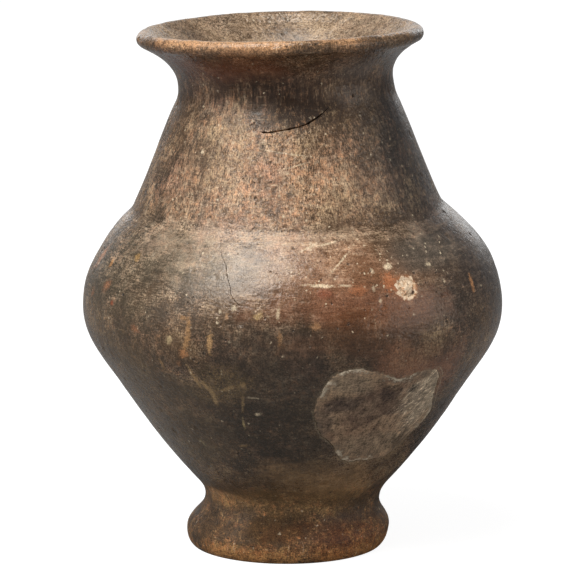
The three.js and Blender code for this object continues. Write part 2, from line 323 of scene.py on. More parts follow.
def floor_slab_section():
    seat = at["waist"] - SEAT_DROP
    edge = at["waist"] + SLAB_EDGE_RISE
    inner_waist = WAIST_RADIUS - WALL
    rise = inner_point(edge - JOINT_SLANT / 2)
    corner_end = (inner_waist - FLOOR_CORNER, floor_top)
    corner = bent_line(rise[:2], (inner_waist, floor_top), corner_end, CORNER_STEPS)
    under = plain_line((0.0, recess_top), (RECESS_TOP_RADIUS, recess_top), 2 * INSIDE_STEP)
    under.append((RECESS_TOP_RADIUS, recess_top, Vector((0, 0)), 0.0, 1.0))
    top = plain_line(corner_end, (0.0, floor_top), 2 * INSIDE_STEP)
    top.append((0.0, floor_top, Vector((0, 0)), 0.0, 1.0))
    return [*under, *outer_face(seat, edge + JOINT_SLANT / 2), rise, *corner[1:-1], *top]


def lip_coil_section():
    joint = at["lip"] - LIP_JOINT_DROP
    first = -math.radians(FLARE_SLOPE)
    wrap = math.radians(LIP_WRAP)
    outer = outer_face(joint + JOINT_SLANT / 2, at["lip"])[:-2]
    rounded = []
    for angle in evenly(first, first + wrap, round(wrap * lip_round / (OUTSIDE_STEP * 0.9))):
        share = (angle - first) / wrap
        way = Vector((math.cos(angle), math.sin(angle)))
        rounded.append((*lip_point(angle), way, 1.0, max(0.0, 2 * share - 1)))
    inner = inner_point(joint - JOINT_SLANT / 2)
    last = Vector(rounded[-1][:2])
    fall = []
    for t in (0.3, 0.6, 0.93):
        fall.append((*last.lerp(Vector(inner[:2]), t), rounded[-1][2].lerp(inner[2], t), 1.0, 1.0))
    return [*outer, *rounded, *fall, inner]


# Arithmetic written with nodes

class Number:
    """A number that nodes work out at each point."""

    def __init__(self, tree, socket):
        self.tree = tree
        self.socket = socket

    def step(self, operation, *others):
        node = self.tree.nodes.new("ShaderNodeMath")
        node.operation = operation
        for slot, value in zip(node.inputs, (self, *others)):
            plug(self.tree, value, slot)
        return Number(self.tree, node.outputs[0])

    def __add__(self, other):
        return self.step("ADD", other)

    def __sub__(self, other):
        return self.step("SUBTRACT", other)

    def __mul__(self, other):
        return self.step("MULTIPLY", other)

    def __truediv__(self, other):
        return self.step("DIVIDE", other)

    def __rsub__(self, other):
        return self.step("MULTIPLY", -1.0) + other

    __radd__ = __add__

    def rising(self, low, high):
        """0 below low and 1 above high, with a smooth climb between."""
        node = self.tree.nodes.new("ShaderNodeMapRange")
        node.interpolation_type = "SMOOTHSTEP"
        plug(self.tree, self, node.inputs["Value"])
        plug(self.tree, low, node.inputs["From Min"])
        plug(self.tree, high, node.inputs["From Max"])
        return Number(self.tree, node.outputs["Result"])

    def falling(self, low, high):
        return 1.0 - self.rising(low, high)


def plug(tree, value, slot):
    """Links a worked-out value to a socket, or sets the socket to a plain one."""
    if isinstance(value, Number):
        value = value.socket
    if isinstance(value, bpy.types.NodeSocket):
        tree.links.new(value, slot)
    else:
        slot.default_value = value


def add(tree, kind, inputs=None, **settings):
    node = tree.nodes.new(kind)
    for name, value in settings.items():
        setattr(node, name, value)
    for name, value in (inputs or {}).items():
        plug(tree, value, node.inputs[name])
    return node


def split(tree, vector):
    node = add(tree, "ShaderNodeSeparateXYZ", {"Vector": vector})
    return [Number(tree, socket) for socket in node.outputs]


def joined(tree, x, y, z):
    return add(tree, "ShaderNodeCombineXYZ", {"X": x, "Y": y, "Z": z}).outputs[0]


def vector_step(tree, operation, first, second):
    node = add(tree, "ShaderNodeVectorMath", operation=operation)
    plug(tree, first, node.inputs[0])
    plug(tree, second, node.inputs["Scale"] if operation == "SCALE" else node.inputs[1])
    if operation == "DISTANCE":
        return Number(tree, node.outputs["Value"])
    return node.outputs["Vector"]


def cloudy(tree, vector, scale, detail=2.0, roughness=0.5):
    """Soft noise about 0, from -0.5 to 0.5."""
    inputs = {"Vector": vector, "Scale": scale, "Detail": detail, "Roughness": roughness}
    return Number(tree, add(tree, "ShaderNodeTexNoise", inputs).outputs[0]) - 0.5


def specks(tree, vector, scale, chosen, small, large):
    """Round specks in some cells of a loose grid: 1 within small of their middles and 0 past large."""
    cell = add(tree, "ShaderNodeTexVoronoi", {"Vector": vector, "Scale": scale})
    lot, size, _ = split(tree, cell.outputs["Color"])
    distance = Number(tree, cell.outputs["Distance"]) * (size + 0.6)
    return distance.falling(small, large) * lot.falling(chosen, chosen + 0.01)


# How the potter's hands left the clay

def hand_built(tree, place):
    """Moves a point of the true round shape to where it is on the leaning, tilted urn."""
    x, y, z = split(tree, place)
    shift = z.rising(0.0, waist_height + WAIST_BEND_RISE) * (WAIST_SHIFT - FOOT_SHIFT) + FOOT_SHIFT
    shift = shift - z.rising(waist_height, belly_height) * WAIST_SHIFT
    shift = shift + z.rising(belly_height + CREASE_RISE / 2, crease_height) * NECK_SHIFT
    shift = shift + z.rising(throat_height - THROAT_BEND_DROP, rim_height) * (RIM_SHIFT - NECK_SHIFT)
    oval = z.rising(waist_height, belly_height) * z.falling(belly_height, throat_height) * OVALITY
    warp = (y * y - x * x) * (MOUTH_WARP / RIM_RADIUS ** 2)
    side_lift = x * z.rising(belly_height, crease_height) * SIDE_TILT
    lift = side_lift + (y * MOUTH_TILT + warp) * z.rising(crease_height, rim_height)
    return joined(tree, x * (oval + 1.0) + shift, y * (1.0 - oval), z + lift)


def stretched(tree, place, up, share=0.13):
    """Coordinates in which a pattern is drawn out upwards, or round the urn where up is false."""
    return vector_step(tree, "MULTIPLY", place, (1.0, 1.0, share) if up else (share, share, 1.0))


def on_shoulder(height):
    above_belly = height.rising(belly_height, belly_height + 0.02)
    return above_belly * height.falling(crease_height, crease_height + 0.008)


def relief(tree, place):
    """How far the worked surface lies outside the true one, in metres."""
    height = split(tree, place)[2]
    on_lip = height.rising(rim_height - 0.012, rim_height - 0.004)
    wiped = on_shoulder(height)
    upright = cloudy(tree, stretched(tree, place, True), UPRIGHT_STROKES_SCALE, 1.0)
    level = cloudy(tree, stretched(tree, place, False), LEVEL_STROKES_SCALE, 1.0)
    strokes = upright * (1.0 - wiped) * (1.0 - on_lip) + level * wiped
    loose = vector_step(tree, "ADD", place, PITS_START)
    hollows = specks(tree, loose, PITS_SCALE, 0.2, 0.1, 0.34) * PITS
    swell = cloudy(tree, place, LUMPS_SCALE) * LUMPS + cloudy(tree, place, KNOCKS_SCALE) * KNOCKS
    nicks = cloudy(tree, place, LIP_NICKS_SCALE) * on_lip * LIP_NICKS
    return swell + strokes * STROKES + nicks - hollows - SEATED


def named_vector(tree, name):
    return add(tree, "GeometryNodeInputNamedAttribute", {"Name": name}, data_type="FLOAT_VECTOR").outputs[0]


def named_number(tree, name):
    node = add(tree, "GeometryNodeInputNamedAttribute", {"Name": name}, data_type="FLOAT")
    return Number(tree, node.outputs[0])


def stored(tree, shape, name, value, kind="FLOAT"):
    inputs = {"Geometry": shape, "Name": name, "Value": value}
    return add(tree, "GeometryNodeStoreNamedAttribute", inputs, data_type=kind, domain="POINT").outputs[0]


def new_tree(name, inputs):
    tree = bpy.data.node_groups.new(name, "GeometryNodeTree")
    for label, kind in inputs.items():
        tree.interface.new_socket(label, in_out="INPUT", socket_type=kind)
    tree.interface.new_socket("Shape", in_out="OUTPUT", socket_type="NodeSocketGeometry")
    return tree, add(tree, "NodeGroupInput").outputs


def ends(tree, shape, material):
    """Every tree ends in real geometry with its material."""
    real = add(tree, "GeometryNodeRealizeInstances", {"Geometry": shape})
    clay = add(tree, "GeometryNodeSetMaterial", {"Geometry": real.outputs[0], "Material": material})
    add(tree, "NodeGroupOutput", {"Shape": clay.outputs[0]})
    return tree


def worked_clay_tree():
    """Gives a mesh of the true round shape the lean, the tilt and the worked surface."""
    tree, given = new_tree("worked clay", {
        "Shape": "NodeSocketGeometry", "Relief": "NodeSocketFloat", "Fill Edge": "NodeSocketObject",
        "Clay": "NodeSocketMaterial",
    })
    place = add(tree, "GeometryNodeInputPosition").outputs[0]
    height = split(tree, place)[2]
    amount = relief(tree, named_vector(tree, "on_wall")) * named_number(tree, "skin")
    amount = amount * height.rising(0.0005, 0.006) * Number(tree, given["Relief"])
    push = vector_step(tree, "SCALE", named_vector(tree, "outward"), amount)
    moved = vector_step(tree, "ADD", hand_built(tree, place), push)
    shape = add(tree, "GeometryNodeSetPosition", {"Geometry": given["Shape"], "Position": moved}).outputs[0]
    edge = add(tree, "GeometryNodeObjectInfo", {"Object": given["Fill Edge"]}).outputs["Geometry"]
    near = add(tree, "GeometryNodeProximity", {"Geometry": edge}, target_element="EDGES")
    shape = stored(tree, shape, "by_fill", near.outputs["Distance"])
    smooth = add(tree, "GeometryNodeSetShadeSmooth", {"Geometry": shape})
    return ends(tree, smooth.outputs[0], given["Clay"])


def swept_clay_tree(worked):
    """Sweeps a section round the axis: a grid whose rows are copies of the section, closed both ways."""
    tree, given = new_tree("swept clay", {
        "Section": "NodeSocketGeometry", "Steps Round": "NodeSocketInt", "Relief": "NodeSocketFloat",
        "Fill Edge": "NodeSocketObject", "Clay": "NodeSocketMaterial",
    })
    section = given["Section"]
    steps = Number(tree, given["Steps Round"])
    size = add(tree, "GeometryNodeAttributeDomainSize", {"Geometry": section})
    count = Number(tree, size.outputs["Point Count"])
    row = count + 1.0
    grid = add(tree, "GeometryNodeMeshGrid", {
        "Size X": 1.0, "Size Y": 1.0, "Vertices X": steps + 1.0, "Vertices Y": row,
    })
    index = Number(tree, add(tree, "GeometryNodeInputIndex").outputs[0])
    lap = ((index + 0.5) / row).step("FLOOR")
    along = (index - lap * row).step("MODULO", count)
    angle = lap / steps * (2 * math.pi)
    cosine, sine = angle.step("COSINE"), angle.step("SINE")

    def sampled(value, kind):
        inputs = {"Geometry": section, "Value": value, "Index": along}
        return add(tree, "GeometryNodeSampleIndex", inputs, data_type=kind).outputs[0]

    def turned(vector):
        radius, _, height = split(tree, sampled(vector, "FLOAT_VECTOR"))
        return joined(tree, radius * cosine, radius * sine, height)

    here = turned(add(tree, "GeometryNodeInputPosition").outputs[0])
    outward = turned(named_vector(tree, "outward"))
    shape = stored(tree, grid.outputs["Mesh"], "outward", outward, "FLOAT_VECTOR")
    shape = stored(tree, shape, "on_wall", here, "FLOAT_VECTOR")
    for name in ("skin", "inside"):
        shape = stored(tree, shape, name, sampled(named_number(tree, name), "FLOAT"))
    shape = add(tree, "GeometryNodeSetPosition", {"Geometry": shape, "Position": here}).outputs[0]
    merged = add(tree, "GeometryNodeMergeByDistance", {"Geometry": shape, "Distance": MERGED_WITHIN})
    work = add(tree, "GeometryNodeGroup", node_tree=worked)
    for name in ("Relief", "Fill Edge", "Clay"):
        plug(tree, given[name], work.inputs[name])
    plug(tree, merged.outputs[0], work.inputs["Shape"])
    return ends(tree, work.outputs[0], given["Clay"])


def shown(thing):
    bpy.context.scene.collection.objects.link(thing)
    return thing


def as_plain_mesh(holder, name):
    """The result of an object's modifiers as a plain mesh object, with the holder gone."""
    bpy.context.view_layer.update()
    seen = holder.evaluated_get(bpy.context.evaluated_depsgraph_get())
    mesh = bpy.data.meshes.new_from_object(seen)
    mesh.name = name
    holder.modifiers.clear()
    bpy.data.objects.remove(holder)
    return shown(bpy.data.objects.new(name, mesh))


def run(tree, holder, name, **inputs):
    """Runs a tree on an object, with the tree's inputs given by name."""
    modifier = holder.modifiers.new(name, "NODES")
    modifier.node_group = tree
    for item in tree.interface.items_tree:
        label = item.name.replace(" ", "_").lower()
        if item.in_out == "INPUT" and label in inputs:
            modifier[item.identifier] = inputs[label]
    return as_plain_mesh(holder, name)


def marked_mesh(name, points, edges, faces, **marks):
    """A mesh object whose points carry named numbers and vectors."""
    mesh = bpy.data.meshes.new(name)
    mesh.from_pydata(points, edges, faces)
    for label, values in marks.items():
        plain = isinstance(values[0], float)
        layer = mesh.attributes.new(label, "FLOAT" if plain else "FLOAT_VECTOR", "POINT")
        flat = values if plain else [number for value in values for number in value]
        layer.data.foreach_set("value" if plain else "vector", flat)
    return shown(bpy.data.objects.new(name, mesh))


def ring_edges(count):
    return [(k, (k + 1) % count) for k in range(count)]


def tube(rings, around):
    """The faces between rings of points that follow one another."""
    faces = []
    for here in range(0, (rings - 1) * around, around):
        below = here + around
        faces += [[here + a, below + a, below + b, here + b] for a, b in ring_edges(around)]
    return faces


def closed_tube(rings, around):
    """A tube's faces and those that close its ends, where two poles follow its rings."""
    faces = tube(rings, around)
    first_pole = rings * around
    last_ring = first_pole - around
    for a, b in ring_edges(around):
        faces.append([first_pole, a, b])
        faces.append([first_pole + 1, last_ring + b, last_ring + a])
    return faces


def swept(name, section, material):
    points = [(radius, 0.0, height) for radius, height, *_ in section]
    holder = marked_mesh(
        name, points, ring_edges(len(points)), [],
        outward=[(way.x, 0.0, way.y) for _, _, way, _, _ in section],
        skin=[skin for *_, skin, _ in section],
        inside=[inside for *_, inside in section],
    )
    return run(
        swept_clay, holder, name, steps_round=STEPS_ROUND, relief=1.0, fill_edge=fill_edge, clay=material,
    )


def facing_out(piece):
    """Turns the faces outwards if the closed mesh is inside out, and marks its hard edges."""
    mesh = piece.data
    shape = bmesh.new()
    shape.from_mesh(mesh)
    if shape.calc_volume(signed=True) < 0:
        bmesh.ops.reverse_faces(shape, faces=shape.faces)
    shape.to_mesh(mesh)
    shape.free()
    mesh.set_sharp_from_angle(angle=math.radians(HARD_EDGE))
    return piece


def carved(piece, *cutters):
    for cutter in cutters:
        step = piece.modifiers.new(cutter.name, "BOOLEAN")
        step.operation = "DIFFERENCE"
        step.solver = "MANIFOLD"
        step.object = cutter
    name = piece.name
    piece.name = name + "_uncut"
    return as_plain_mesh(piece, name)


def unworked(name, points, faces):
    """A shape given in the true round frame, moved with the urn's lean but without the worked surface."""
    still = [0.0] * len(points)
    holder = marked_mesh(name, points, [], faces, skin=still)
    return facing_out(run(worked_clay, holder, name, relief=0.0, fill_edge=fill_edge, clay=clay))


def built(x, y, z):
    """The place on the leaning urn of a point of the true round shape, near enough to centre a stain."""
    holder = marked_mesh("probe", [(x, y, z), (x, y, z + MM)], [(0, 1)], [], skin=[0.0, 0.0])
    probe = run(worked_clay, holder, "probe", relief=0.0)
    place = tuple(probe.data.vertices[0].co)
    bpy.data.objects.remove(probe)
    return place


worked_clay = worked_clay_tree()
swept_clay = swept_clay_tree(worked_clay)


# The repair fill

fill_radius = wall.outside(at["belly"] + FILL_CLIMB)[0].x


def fill_outline():
    """The fill's outline on the flattened wall, smooth through its corners and ragged as it was spread."""
    corners = [Vector((across, up, 0)) * MM for across, up in FILL_OUTLINE]
    line = []
    for k, here in enumerate(corners):
        before, after, next_after = (corners[(k + step) % len(corners)] for step in (-1, 1, 2))
        leave = here + (after - before) / 6
        arrive = after - (next_after - here) / 6
        line += interpolate_bezier(here, leave, arrive, after, FILL_STEPS + 1)[:-1]
    return [point * (1 + 0.022 * noise.fractal(point * 260, 0.6, 2.0, 4)) for point in line]


def on_fill(flat, depth):
    turn = FILL_TURN + math.degrees(flat.x / fill_radius)
    return round_place(turn, FILL_CLIMB + flat.y, depth)


def scraped(flat):
    """How proud the fill stands, where it was pressed in, smoothed with a blade and scraped."""
    slant = Matrix.Rotation(math.radians(SCRAPE_SLANT), 2) @ flat.to_2d()
    lumps = noise.fractal(flat * 95, 0.7, 2.0, 4)
    scrapes = noise.noise(Vector((slant.x * 75, slant.y * 620, 3.0)))
    deep = max(0.0, noise.noise(Vector((slant.x * 45, slant.y * 210, 9.0))) - 0.12)
    return FILL_PROUD + FILL_LUMPS * lumps + FILL_SCRAPES * scrapes - FILL_GOUGES * deep


# The fill's rounded edge: how far in from its outline and how far down, in millimetres.
EDGE_PROFILE = [(1.6, 0.0), (1.1, 0.02), (0.75, 0.06), (0.5, 0.12), (0.3, 0.2), (0.14, 0.34), (0.0, 0.6)]


def fill_plug():
    """The fill from its outer face over its edge to its inner face, as rings with a pole at each end."""
    line = fill_outline()
    rings = []
    for share in evenly(0, 1, FILL_RINGS)[1:-2]:
        ring = [point * share for point in line]
        rings.append([(flat, -scraped(flat), 1.0, 0.0) for flat in ring])
    for inset, drop in EDGE_PROFILE:
        ring = [point * (1 - (inset * MM + FILL_GAP) / point.length) for point in line]
        rings.append([(flat, drop * MM - scraped(flat) * (1 - drop), 1.0, 0.0) for flat in ring])
    edge = [point * (1 - FILL_GAP / point.length) for point in line]
    for depth in evenly(FILL_SIDE_TOP, WALL - FILL_BACK_ROUND, 3):
        rings.append([(flat, depth, 0.0, 0.5) for flat in edge])
    for share in evenly(1, 0, FILL_RINGS // 3)[:-1]:
        drop = FILL_BACK_EDGE if share == 1 else 0.0
        rings.append([(flat * share, WALL - drop, 1.0, 1.0) for flat in edge])
    middle = Vector((0, 0, 0))
    poles = [(middle, -scraped(middle), 1.0, 0.0), (middle, WALL, 1.0, 1.0)]
    spots = [spot for ring in rings for spot in ring] + poles
    places = [on_fill(flat, depth) for flat, depth, _, _ in spots]
    return marked_mesh(
        "fill", [place for place, _ in places], [], closed_tube(len(rings), len(line)),
        outward=[way * (1 - 2 * round(inside)) for (_, way), (_, _, _, inside) in zip(places, spots)],
        skin=[skin for _, _, skin, _ in spots],
        inside=[inside for *_, inside in spots],
        flat=[flat for flat, *_ in spots],
        on_wall=[on_fill(flat, WALL * round(inside))[0] for flat, _, _, inside in spots],
    )


def fill_hole():
    """What the fill's outline cuts from the clay, from outside the wall to inside it."""
    line = fill_outline()
    depths = (-CUT_PAST, WALL + CUT_PAST)
    points = [on_fill(point, depth)[0] for depth in depths for point in line]
    points += [on_fill(Vector((0, 0, 0)), depth)[0] for depth in depths]
    return unworked("fill_hole", points, closed_tube(len(depths), len(line)))


# Cracks and the spalled pit

def crack(name, route, width, depth):
    """A wedge that opens the clay along a route and tapers to nothing at both ends."""
    stops = [Vector((turn, climb / MM, 0)) for turn, climb in route]
    line = []
    for k in range(len(stops) - 1):
        before, after = stops[max(k - 1, 0)], stops[min(k + 2, len(stops) - 1)]
        leave = stops[k] + (stops[k + 1] - before) / 6
        arrive = stops[k + 1] - (after - stops[k]) / 6
        line += interpolate_bezier(stops[k], leave, arrive, stops[k + 1], CRACK_STEPS + 1)[:-1]
    line.append(stops[-1])
    points = []
    for k, spot in enumerate(line):
        share = k / (len(line) - 1)
        along = (line[min(k + 1, len(line) - 1)] - line[max(k - 1, 0)]).normalized()
        across = Vector((-along.y * 0.9, along.x, 0))
        wander = noise.noise(spot * 1.3) * 0.22
        open_by = min(1.0, 8 * share + 0.1, 5 * (1 - share)) * (0.75 + 0.5 * noise.noise(spot * 2.1))
        half = max(0.02, width / MM / 2 * open_by)
        for side, sunk in ((-1, -CRACK_STAND_OFF), (1, -CRACK_STAND_OFF), (0, depth * max(0.1, open_by))):
            mark = spot + across * (side * half * 1.6 + wander)
            points.append(round_place(mark.x, mark.y * MM, sunk)[0])
    caps = [[0, 1, 2], [len(points) - 1, len(points) - 2, len(points) - 3]]
    return unworked(name, points, caps + tube(len(line), 3))


def at_pit(name, radii, depth, roughness):
    """A rough ball laid in the wall at the pit, flattened by its radii across, along and out of the wall."""
    shape = bmesh.new()
    bmesh.ops.create_icosphere(shape, subdivisions=5, radius=1.0)
    middle, outward = round_place(PIT_TURN, PIT_CLIMB, depth)
    across = Vector((0, 0, 1)).cross(outward).normalized()
    up = outward.cross(across)
    points = []
    for vertex in shape.verts:
        way = vertex.co * (1 + roughness * noise.fractal(vertex.co * 2.6, 0.6, 2.0, 5))
        place = middle + across * way.x * radii[0] + up * way.y * radii[1]
        points.append(place + outward * way.z * radii[2])
    faces = [[vertex.index for vertex in face.verts] for face in shape.faces]
    shape.free()
    return unworked(name, points, faces)


def pit_cutter():
    ball = (PIT_RADIUS ** 2 + PIT_DEPTH ** 2) / (2 * PIT_DEPTH)
    return at_pit("pit", (ball, ball, ball), PIT_DEPTH - ball, 0.015)


def lime_ball(name, gap):
    radii = (LUMP_RADIUS * 1.2 + gap, LUMP_RADIUS * 1.1 + gap, LUMP_THICKNESS / 2 + gap)
    return at_pit(name, radii, LUMP_SINK - 0.0005, 0.26)


# Colours, written as they look on a screen, stains, and painted light and shade

DARK_SKIN = 0x423529
BROWN_SKIN = 0x5d4733
TAN_CLAY = 0xb59c80
ORANGE_CLAY = 0xc28f68
OLIVE_CLAY = 0xae9a76
PINK_CLAY = 0xb9866e
RUBBED_LIP_CLAY = 0xcb996c
GREY_SHOULDER_CLAY = 0xa89682
INNER_CLAY = 0xa39079
OCHRE_FOOT_CLAY = 0xa67c40
RED_FOOT_CLAY = 0xb0662f
FOOT_EDGE_CLAY = 0xbe8448
CORE_CLAY = 0x80492d
PALE_CORE_CLAY = 0xb57a52
SCRATCH = 0xd0b694
BRANCHES = 0xb0905f
GRIT = 0xdcc8a8
# painted shade in the small holes that lost grains left
GRAIN_HOLE_SHADE = 0x1c1815
LIME = 0xecd4b6
SHADED_LIME = 0xc39a72
RUSTY_LIME = 0xc58a5e
# painted shade of a hole at the lime's edge
HOLE_SHADE = 0x3a1c16
PLASTER = 0x7f634e
LIGHT_PLASTER = 0xa2866a
SCRAPED_PLASTER = 0xd4c0a4
WORN_PLASTER = 0x9a8a74
CRUMBLED_PLASTER = 0xd8c6ac
SMEARED_PLASTER = 0xa79478


def tone(screen_colour):
    """A colour written as it looks on a screen, as linear light."""
    channels = [(screen_colour >> shift & 255) / 255 for shift in (16, 8, 0)]
    return (*(c / 12.92 if c < 0.04045 else ((c + 0.055) / 1.055) ** 2.4 for c in channels), 1.0)


def mixed(tree, share, under, over):
    node = add(tree, "ShaderNodeMix", data_type="RGBA")
    plug(tree, share, node.inputs[0])
    plug(tree, under, node.inputs[6])
    plug(tree, over, node.inputs[7])
    return node.outputs[2]


def laid(tree, colour, share, screen_colour):
    """A colour with another laid over it, as thickly as the share says."""
    return mixed(tree, share, colour, tone(screen_colour))


# Where the dark skin has worn through to the clay, or lies thicker, where the last number is below nothing,
# and where the same paints highlights and shade: turn, height, half the width in degrees, half the height,
# and how much.
WEAR_AND_PAINTED_SHADING = {
    "front of the neck": (-17, 0.224, 34, 0.038, 0.52),
    "top of the neck on the left": (-38, 0.258, 16, 0.012, 0.34),
    # painted shadow: less wear here darkens the neck where the lip casts its shadow
    "soot above the crack": (0, 0.268, 17, 0.008, -0.26),
    "middle of the neck": (14, 0.222, 18, 0.026, 0.12),
    # painted highlight: wear lightens the band just below the crease, where the upturned shoulder catches
    # the light
    "light band at the crease": (2, 0.1995, 30, 0.0042, 0.32),
    "light spot at the crease": (18, 0.2005, 7, 0.0032, 0.25),
    "left crease": (-48, 0.199, 16, 0.004, 0.06),
    # painted highlight along the crease on the right
    "right crease": (42, 0.198, 16, 0.004, 0.4),
    "right of the belly": (43, 0.139, 12, 0.009, 0.1),
    # partly painted sheen: wear lightens the front of the shoulder where it mirrors the overhead light
    "shoulder": (-1, 0.187, 19, 0.01, 0.22),
    "left shoulder": (-50, 0.183, 18, 0.012, 0.14),
    "above the fill": (2, 0.121, 7, 0.008, 0.12),
    "left side of the neck": (-74, 0.206, 16, 0.014, 0.14),
    "rubbed under the belly": (-23, 0.11, 8, 0.02, 0.04),
    "below the fill on the right": (44, 0.056, 15, 0.014, 0.22),
    "left waist": (-50, 0.0345, 24, 0.0055, 0.5),
    "front waist": (14, 0.03, 24, 0.008, 0.2),
    "foot edge": (0, 0.0, 200, 0.0085, 0.6),
    "foot left": (-36, 0.005, 22, 0.008, 0.25),
    "foot right": (48, 0.013, 20, 0.01, 0.24),
    "lip": (-38, 0.314, 50, 0.009, 0.7),
    # painted shade: darkens the inside of the mouth on the left, the side the light does not reach
    "inside the lip on the left": (-155, 0.302, 22, 0.012, -0.16),
    "soot on the foot": (-7, 0.0215, 22, 0.009, -0.3),
    "back of the shoulder": (140, 0.185, 30, 0.02, 0.35),
    "back of the neck": (-140, 0.23, 30, 0.035, 0.4),
}

# Stains in the skin, with painted shadow, shade and sheen among them: turn, height, half the width in
# degrees, half the height, colour, strength, and how much of the grain they hide. Those with soot in their
# name are matt too.
STAINS_AND_PAINTED_SHADING = {
    "fire cloud on the right of the neck": (66, 0.238, 27, 0.052, 0x332d2a, 0.88, 0.5),
    "dark streak on the left of the neck": (-51, 0.245, 4.5, 0.026, 0x4a3b2f, 0.65, 0.3),
    "fire cloud on the right of the belly": (70, 0.176, 21, 0.03, 0x352c28, 0.8, 0.6),
    "brown neck": (-10, 0.225, 40, 0.035, 0x6b523f, 0.85, 0.0),
    "olive left side": (-60, 0.172, 26, 0.03, 0x4b4234, 0.78, 0.1),
    # partly painted shade: dark clay, darkened further where the lower wall turns down, away from the light
    "dark lower wall": (-6, 0.088, 34, 0.046, 0x2e261d, 0.83, 0.6),
    "olive lower left": (-58, 0.09, 26, 0.05, 0x54432e, 0.8, 0.4),
    "dark under the belly": (-4, 0.136, 18, 0.02, 0x332a24, 0.75, 0.4),
    "brown right shoulder": (12, 0.181, 29, 0.017, 0x7a543a, 0.9, 0.5),
    # partly painted sheen: a smooth grey where the burnished shoulder mirrors the overhead light
    "grey shoulder": (-22, 0.184, 18, 0.014, 0x776b5d, 0.85, 0.6),
    "olive left shoulder": (-36, 0.186, 17, 0.014, 0x544a3c, 0.88, 0.5),
    "grey right shoulder": (45, 0.188, 15, 0.01, 0x564e44, 0.8, 0.5),
    "brown beside the pit": (41, 0.16, 9, 0.012, 0x4a382b, 0.7, 0.4),
    "red flush above the fill": (19, 0.162, 24, 0.011, 0x795039, 0.85, 0.5),
    "deep red right of the flush": (24, 0.154, 13, 0.008, 0x643b20, 0.9, 0.4),
    "dark beside the flush": (0, 0.144, 12, 0.01, 0x3a2f26, 0.75, 0.4),
    "dark foot of the flush": (19, 0.145, 18, 0.009, 0x4f3625, 0.85, 0.4),
    "red flush beside the fill": (41, 0.12, 14, 0.016, 0x805840, 0.85, 0.5),
    # partly painted shade: brown clay, darkened further where the flare under the lip faces down into shade
    "brown throat": (-16, 0.285, 70, 0.018, 0x4e3628, 0.85, 0.3),
    "red-brown throat on the left": (-34, 0.289, 26, 0.009, 0x6e3f29, 0.8, 0.2),
    "grey throat on the right": (36, 0.29, 20, 0.009, 0x5e524a, 0.7, 0.2),
    # painted shadow: the lip's cast shadow on the neck, kept matt by the soot in its name
    "soot under the lip": (-12, 0.278, 27, 0.0078, 0x2b1a0e, 0.92, 0.1),
    "soot above the crack": (4, 0.2665, 18, 0.0088, 0x2b1a0e, 0.94, 0.1),
    "smudge under the crack": (-15.0, 0.2505, 1.9, 0.006, 0x3a302a, 0.75, 0.0),
    "soot on the foot": (-7, 0.0215, 22, 0.009, 0x231910, 0.94, 0.1),
    "ochre under the fill": (22, 0.049, 28, 0.014, 0x8f6f4c, 0.85, 0.3),
    "ochre waist": (-10, 0.036, 60, 0.009, 0x73593a, 0.7, 0.0),
    "ochre left waist": (-48, 0.0345, 22, 0.005, 0x94704a, 0.8, 0.0),
    "brown foot": (-24, 0.012, 50, 0.012, 0x5c4228, 0.75, 0.0),
    "red-brown foot": (40, 0.012, 34, 0.012, 0x68391c, 0.85, 0.0),
    "fire cloud at the back": (150, 0.12, 34, 0.06, 0x332d2a, 0.75, 0.4),
    "fire cloud at the back left": (-120, 0.18, 24, 0.03, 0x3a3029, 0.65, 0.4),
}

# Where the looks of the foot, its clay and its edge fade out as the wall rises, how far below the rim the
# lip's look starts and is full, and where the knife's line beside the fill begins.
FOOT_FADE = (0.03, 0.05)
LOW_CLAY_FADE = (0.03, 0.06)
FOOT_EDGE_FADE = (0.002, 0.012)
LIP_FADE = (0.009, 0.004)
KNIFE_LINE_TURNS = (44.0, 47.0)
KNIFE_LINE_HEIGHTS = (0.085, 0.095)

# Other patches, placed in the same way as stains: the rubbed lip, the worn branches under the belly, and
# the shoulder where the most lime shows.
RUBBED_LIP = (-25, 0.311, 72, 0.012)
BRANCHED = (-22, 0.117, 9, 0.011)
GRITTY_SHOULDER = (26, 0.186, 24, 0.014)

